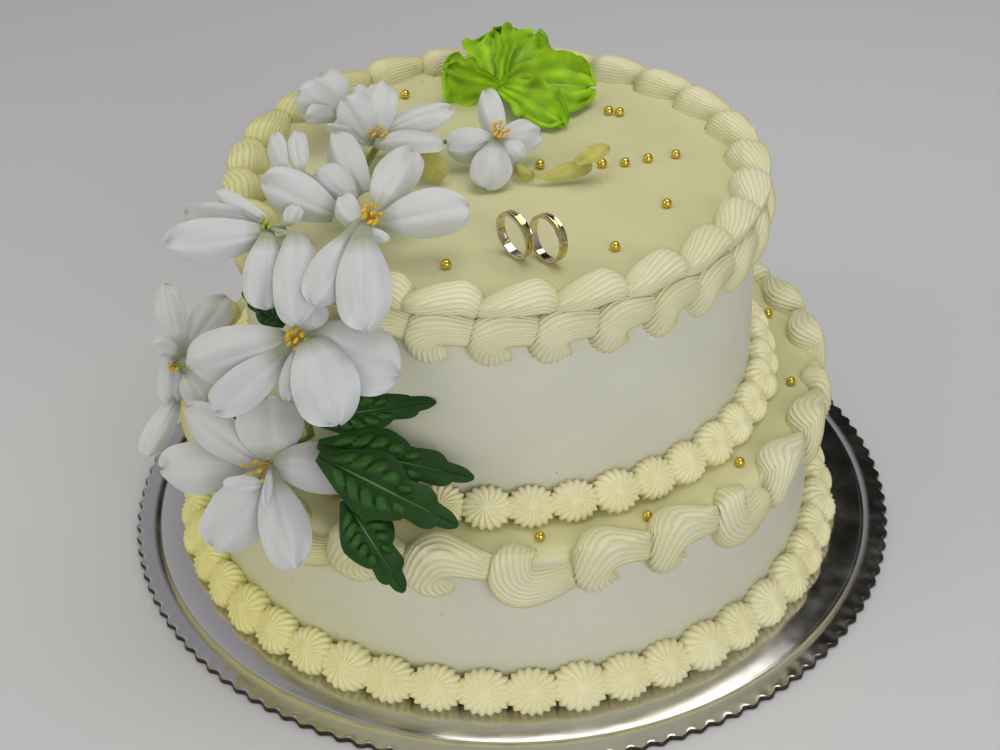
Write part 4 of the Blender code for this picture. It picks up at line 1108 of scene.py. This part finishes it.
class CAKE_OT_scrolls(bpy.types.Operator):
    """Pipes the scrolls over both tiers' edges"""

    bl_idname = "cake.scrolls"
    bl_label = "Scroll borders"

    def execute(self, context):
        sizes = context.scene.cake_sizes
        depth = sizes.ridge_depth / MM
        lower, upper = (LOWER_RADIUS, LOWER_TOP), (UPPER_RADIUS, UPPER_TOP)
        down = scroll_shape("lower_down", EDGE_SCROLL, *lower, 15, 34, depth)
        up = scroll_shape("lower_up", EDGE_SCROLL, *lower, 15, 34, depth, flip=8.5)
        side = scroll_shape("side_one", SIDE_SCROLL, *upper, 16, 28, depth * 0.75)
        comma = scroll_shape("comma_one", COMMA_SCROLL, *upper, 17, 32, depth * 0.75)
        for name, node, shapes, count, turn, x, seed, every, sway in (
            ("lower", "lower_edge_border", [down, up], sizes.lower_scrolls, -115.1, LOWER_X, 3.0, 3, 0.8),
            ("side", "upper_edge_border", [side], sizes.side_scrolls, -91.2, UPPER_X, 4.0, 1, 0.9),
            ("comma", "upper_edge_border", [comma], sizes.commas, -86.0, UPPER_X, 5.0, 1, 0.9),
        ):
            name += "_scrolls"
            grow_border(name, node, shapes, count, turn, x, seed, context, "piped", every, sway)
        return {"FINISHED"}


class CAKE_OT_wedding_rings(bpy.types.Operator):
    """Makes the pair of wedding rings standing on their edges"""

    bl_idname = "cake.wedding_rings"
    bl_label = "Wedding rings"

    def execute(self, context):
        look, outer = looks(context), context.scene.cake_sizes.ring_radius / MM
        inner, half, segments = outer - 1.5, 2.2, RING_SEGMENTS
        left = [(inner + 0.25, -half), (outer - 0.35, -half), (outer - 0.1, -half + 0.3)]
        left += [(outer - 0.35, -0.95), (outer - 0.35, -0.75), (outer - 0.02, -0.55)]
        right = [(r, -w) for r, w in reversed(left)]
        bore = [(inner, half - 0.35), (inner, 0), (inner, -half + 0.35)]
        profile = left + [(outer, 0)] + right + bore
        gold_faces = range(len(left) - 2, len(left) + 2)
        for name, (foot, axis) in WEDDING_RINGS.items():
            axis = Vector(axis).normalized()
            side = axis.cross(Vector((0, 0, 1))).normalized()
            up = side.cross(axis).normalized()
            centre = Vector((*foot, UPPER_TOP + RING_GAP + outer * up.z + abs(axis.z) * half))
            points = []
            for a in (2 * math.pi * k / segments for k in range(segments)):
                out = side * math.cos(a) + up * math.sin(a)
                points += [centre + out * r + axis * w for r, w in profile]
            around = quads(segments + 1, len(profile), True)
            faces = [tuple(c % len(points) for c in face) for face in around]
            indices = [1 if j in gold_faces else 0 for j in range(len(profile))] * segments
            finish = [look("ring_pale"), look("ring_gold")]
            band = piece(name + "_band", points, faces, finish, indices=indices, crease=30)
            placed(outward(band), "gold_metal", name)
        return {"FINISHED"}


class CAKE_OT_sprays(bpy.types.Operator):
    """Makes the silk blossoms, the cloth leaves and the sprigs"""

    bl_idname = "cake.sprays"
    bl_label = "Blossoms and leaves"

    def execute(self, context):
        look, sizes = looks(context), context.scene.cake_sizes
        thick, wave = sizes.petal_thickness / MM, sizes.petal_ruffle / MM
        for number, (name, (hub, kind, specs)) in enumerate(SPRAYS.items()):
            cloth, slot, rows, columns, share = BLADES[kind]
            skin = points, faces, marks, highs = [], [], [], []
            for k, spec in enumerate(specs):
                grid = blade_grid(spec, kind, Vector(hub), number * 10 + k, wave, rows, columns)
                thin_sheet(*grid, thick * share, skin)
            made = piece(name + "_cloth", points, faces, [look(cloth)], uvs=marks, painted_relief=highs, crease=60)
            placed(made, slot, name)
        return {"FINISHED"}


class CAKE_OT_stamens(bpy.types.Operator):
    """Sets the stamens in the blossoms' throats"""

    bl_idname = "cake.stamens"
    bl_label = "Stamens"

    def execute(self, context):
        look = looks(context)
        for name, (lean, length, fan, count, colour) in STAMENS.items():
            hub, lean = Vector(SPRAYS[name][0]), Vector(lean).normalized()
            side = lean.orthogonal().normalized()
            other = lean.cross(side)
            points, faces = [], []
            for k in range(count):
                a = 2 * math.pi * k / count + 0.4 * noise.noise(Vector((k * 1.3, count, 0.2)))
                out = (side * math.cos(a) + other * math.sin(a)) * (fan if k else 0.05)
                reach = length * (0.85 + 0.3 * noise.noise(Vector((k * 2.1, 3.3, count))))
                end = hub + (lean + out).normalized() * reach
                bow = [(t, 1.2 * math.sin(math.pi * t)) for t in (0.05, 0.3, 0.55, 0.8, 1.0)]
                path = [hub.lerp(end, t) - out * bent for t, bent in bow]
                tube_points(path, [0.45, 0.38, 0.34, 0.3, 0.3], 6, points, faces)
                across = (end - hub).cross(other).normalized()
                tip = [end + across * way for way in (-1.6, -1.1, 0, 1.1, 1.6)]
                tube_points(tip, [0.2, 0.75, 0.95, 0.75, 0.2], 7, points, faces)
            placed(piece(name + "_stamens", points, faces, [look(colour)]), "pale_leaf")
        return {"FINISHED"}


class CAKE_OT_stems(bpy.types.Operator):
    """Makes the wired stems behind the blossoms"""

    bl_idname = "cake.stems"
    bl_label = "Stems"

    def execute(self, context):
        look = looks(context)
        for name, (path, twigs) in STEMS.items():
            points, faces = [], []
            tube_points([catmull(path, k / 16) for k in range(17)], [STEM_RADIUS] * 17, 12, points, faces)
            for k, spray in twigs:
                wire(path[k], SPRAYS[spray][0], 1.2, points, faces)
            placed(piece(name + "_wire", points, faces, [look("stem")]), "green_leaf", name)
        for name, (foot, spray) in PICKS.items():
            points, faces = [], []
            wire(foot, SPRAYS[spray][0], 0.4, points, faces)
            placed(piece(name + "_wire", points, faces, [look("stem")]), "green_leaf", name)
        return {"FINISHED"}


class CAKE_OT_stage(bpy.types.Operator):
    """Lays the plain floor and sets the soft lights, the room and the camera"""

    bl_idname = "cake.stage"
    bl_label = "Floor, lights and camera"

    def execute(self, context):
        scene = context.scene
        scene.view_settings.view_transform = "Standard"
        mesh = bpy.data.meshes.new("floor")
        mesh.from_pydata([(-4, -4, 0), (4, -4, 0), (4, 4, 0), (-4, 4, 0)], [], [(0, 1, 2, 3)])
        mesh.materials.append(new_material("matt_floor", tuple(scene.cake_colours.floor), Roughness=0.8)[0])
        added("floor", mesh)
        for name, spot, size, watts, tint in SOFTBOXES:
            data = bpy.data.lights.new(name, "AREA")
            data.shape, data.size, data.energy, data.color = "DISK", size, watts, linear(tint)
            lamp = added(name, data)
            lamp.location = spot
            lamp.rotation_euler = (LAMP_AIM - Vector(spot)).to_track_quat("-Z", "Y").to_euler()
        self.room(scene)
        data = bpy.data.cameras.new("camera")
        data.sensor_width, data.lens = 36.0, CAMERA_LENS
        data.clip_start, data.clip_end = 0.01, 20
        scene.camera = added("camera", data)
        yaw, tilt, roll = (Matrix.Rotation(angle, 4, axis) for angle, axis in CAMERA_TURNS)
        scene.camera.matrix_world = Matrix.Translation(CAMERA_PLACE) @ (yaw @ tilt @ roll)
        return {"FINISHED"}

    def room(self, scene):
        """A soft room, pale on its left and dark on its right, as the foil shows it."""
        scene.world = bpy.data.worlds.new("soft_room")
        scene.world.use_nodes = True
        tree = scene.world.node_tree
        way = split(tree, add_node(tree, "ShaderNodeTexCoord").outputs["Generated"], "X")
        ramp = add_node(tree, "ShaderNodeValToRGB", {"Fac": mapped(tree, way, -1.0, 1.0)})
        stops = ramp.color_ramp.elements
        for place in ROOM_STOPS:
            stops.new(place)
        for stop, tint in zip(stops, ROOM_TINTS):
            stop.color = (*linear(tint), 1)
        back = tree.nodes["Background"]
        back.inputs["Strength"].default_value = 0.8
        tree.links.new(ramp.outputs["Color"], back.inputs["Color"])


STEPS = (
    CAKE_OT_board, CAKE_OT_tiers, CAKE_OT_rosettes, CAKE_OT_scrolls, CAKE_OT_wedding_rings,
    CAKE_OT_sprays, CAKE_OT_stamens, CAKE_OT_stems, CAKE_OT_stage,
)


class CAKE_PT_sidebar(bpy.types.Panel):
    """Lists the cake's pieces with their sizes and colours"""

    bl_idname = "CAKE_PT_sidebar"
    bl_label = "Tiered wedding cake"
    bl_space_type = "VIEW_3D"
    bl_region_type = "UI"
    bl_category = "Cake"

    def draw(self, context):
        for step in STEPS:
            self.layout.operator(step.bl_idname, text=step.bl_label)
        for group in (context.scene.cake_sizes, context.scene.cake_colours):
            box = self.layout.box()
            for key in group.__annotations__:
                box.prop(group, key)


CLASSES = (CakeSizes, CakeColours, *STEPS, CAKE_PT_sidebar)


def register():
    for made in CLASSES:
        bpy.utils.register_class(made)
    bpy.types.Scene.cake_sizes = bpy.props.PointerProperty(type=CakeSizes)
    bpy.types.Scene.cake_colours = bpy.props.PointerProperty(type=CakeColours)


def unregister():
    del bpy.types.Scene.cake_colours, bpy.types.Scene.cake_sizes
    for made in reversed(CLASSES):
        bpy.utils.unregister_class(made)


def main():
    register()
    for step in STEPS:
        group, name = step.bl_idname.split(".")
        getattr(getattr(bpy.ops, group), name)()


if __name__ == "__main__":
    main()
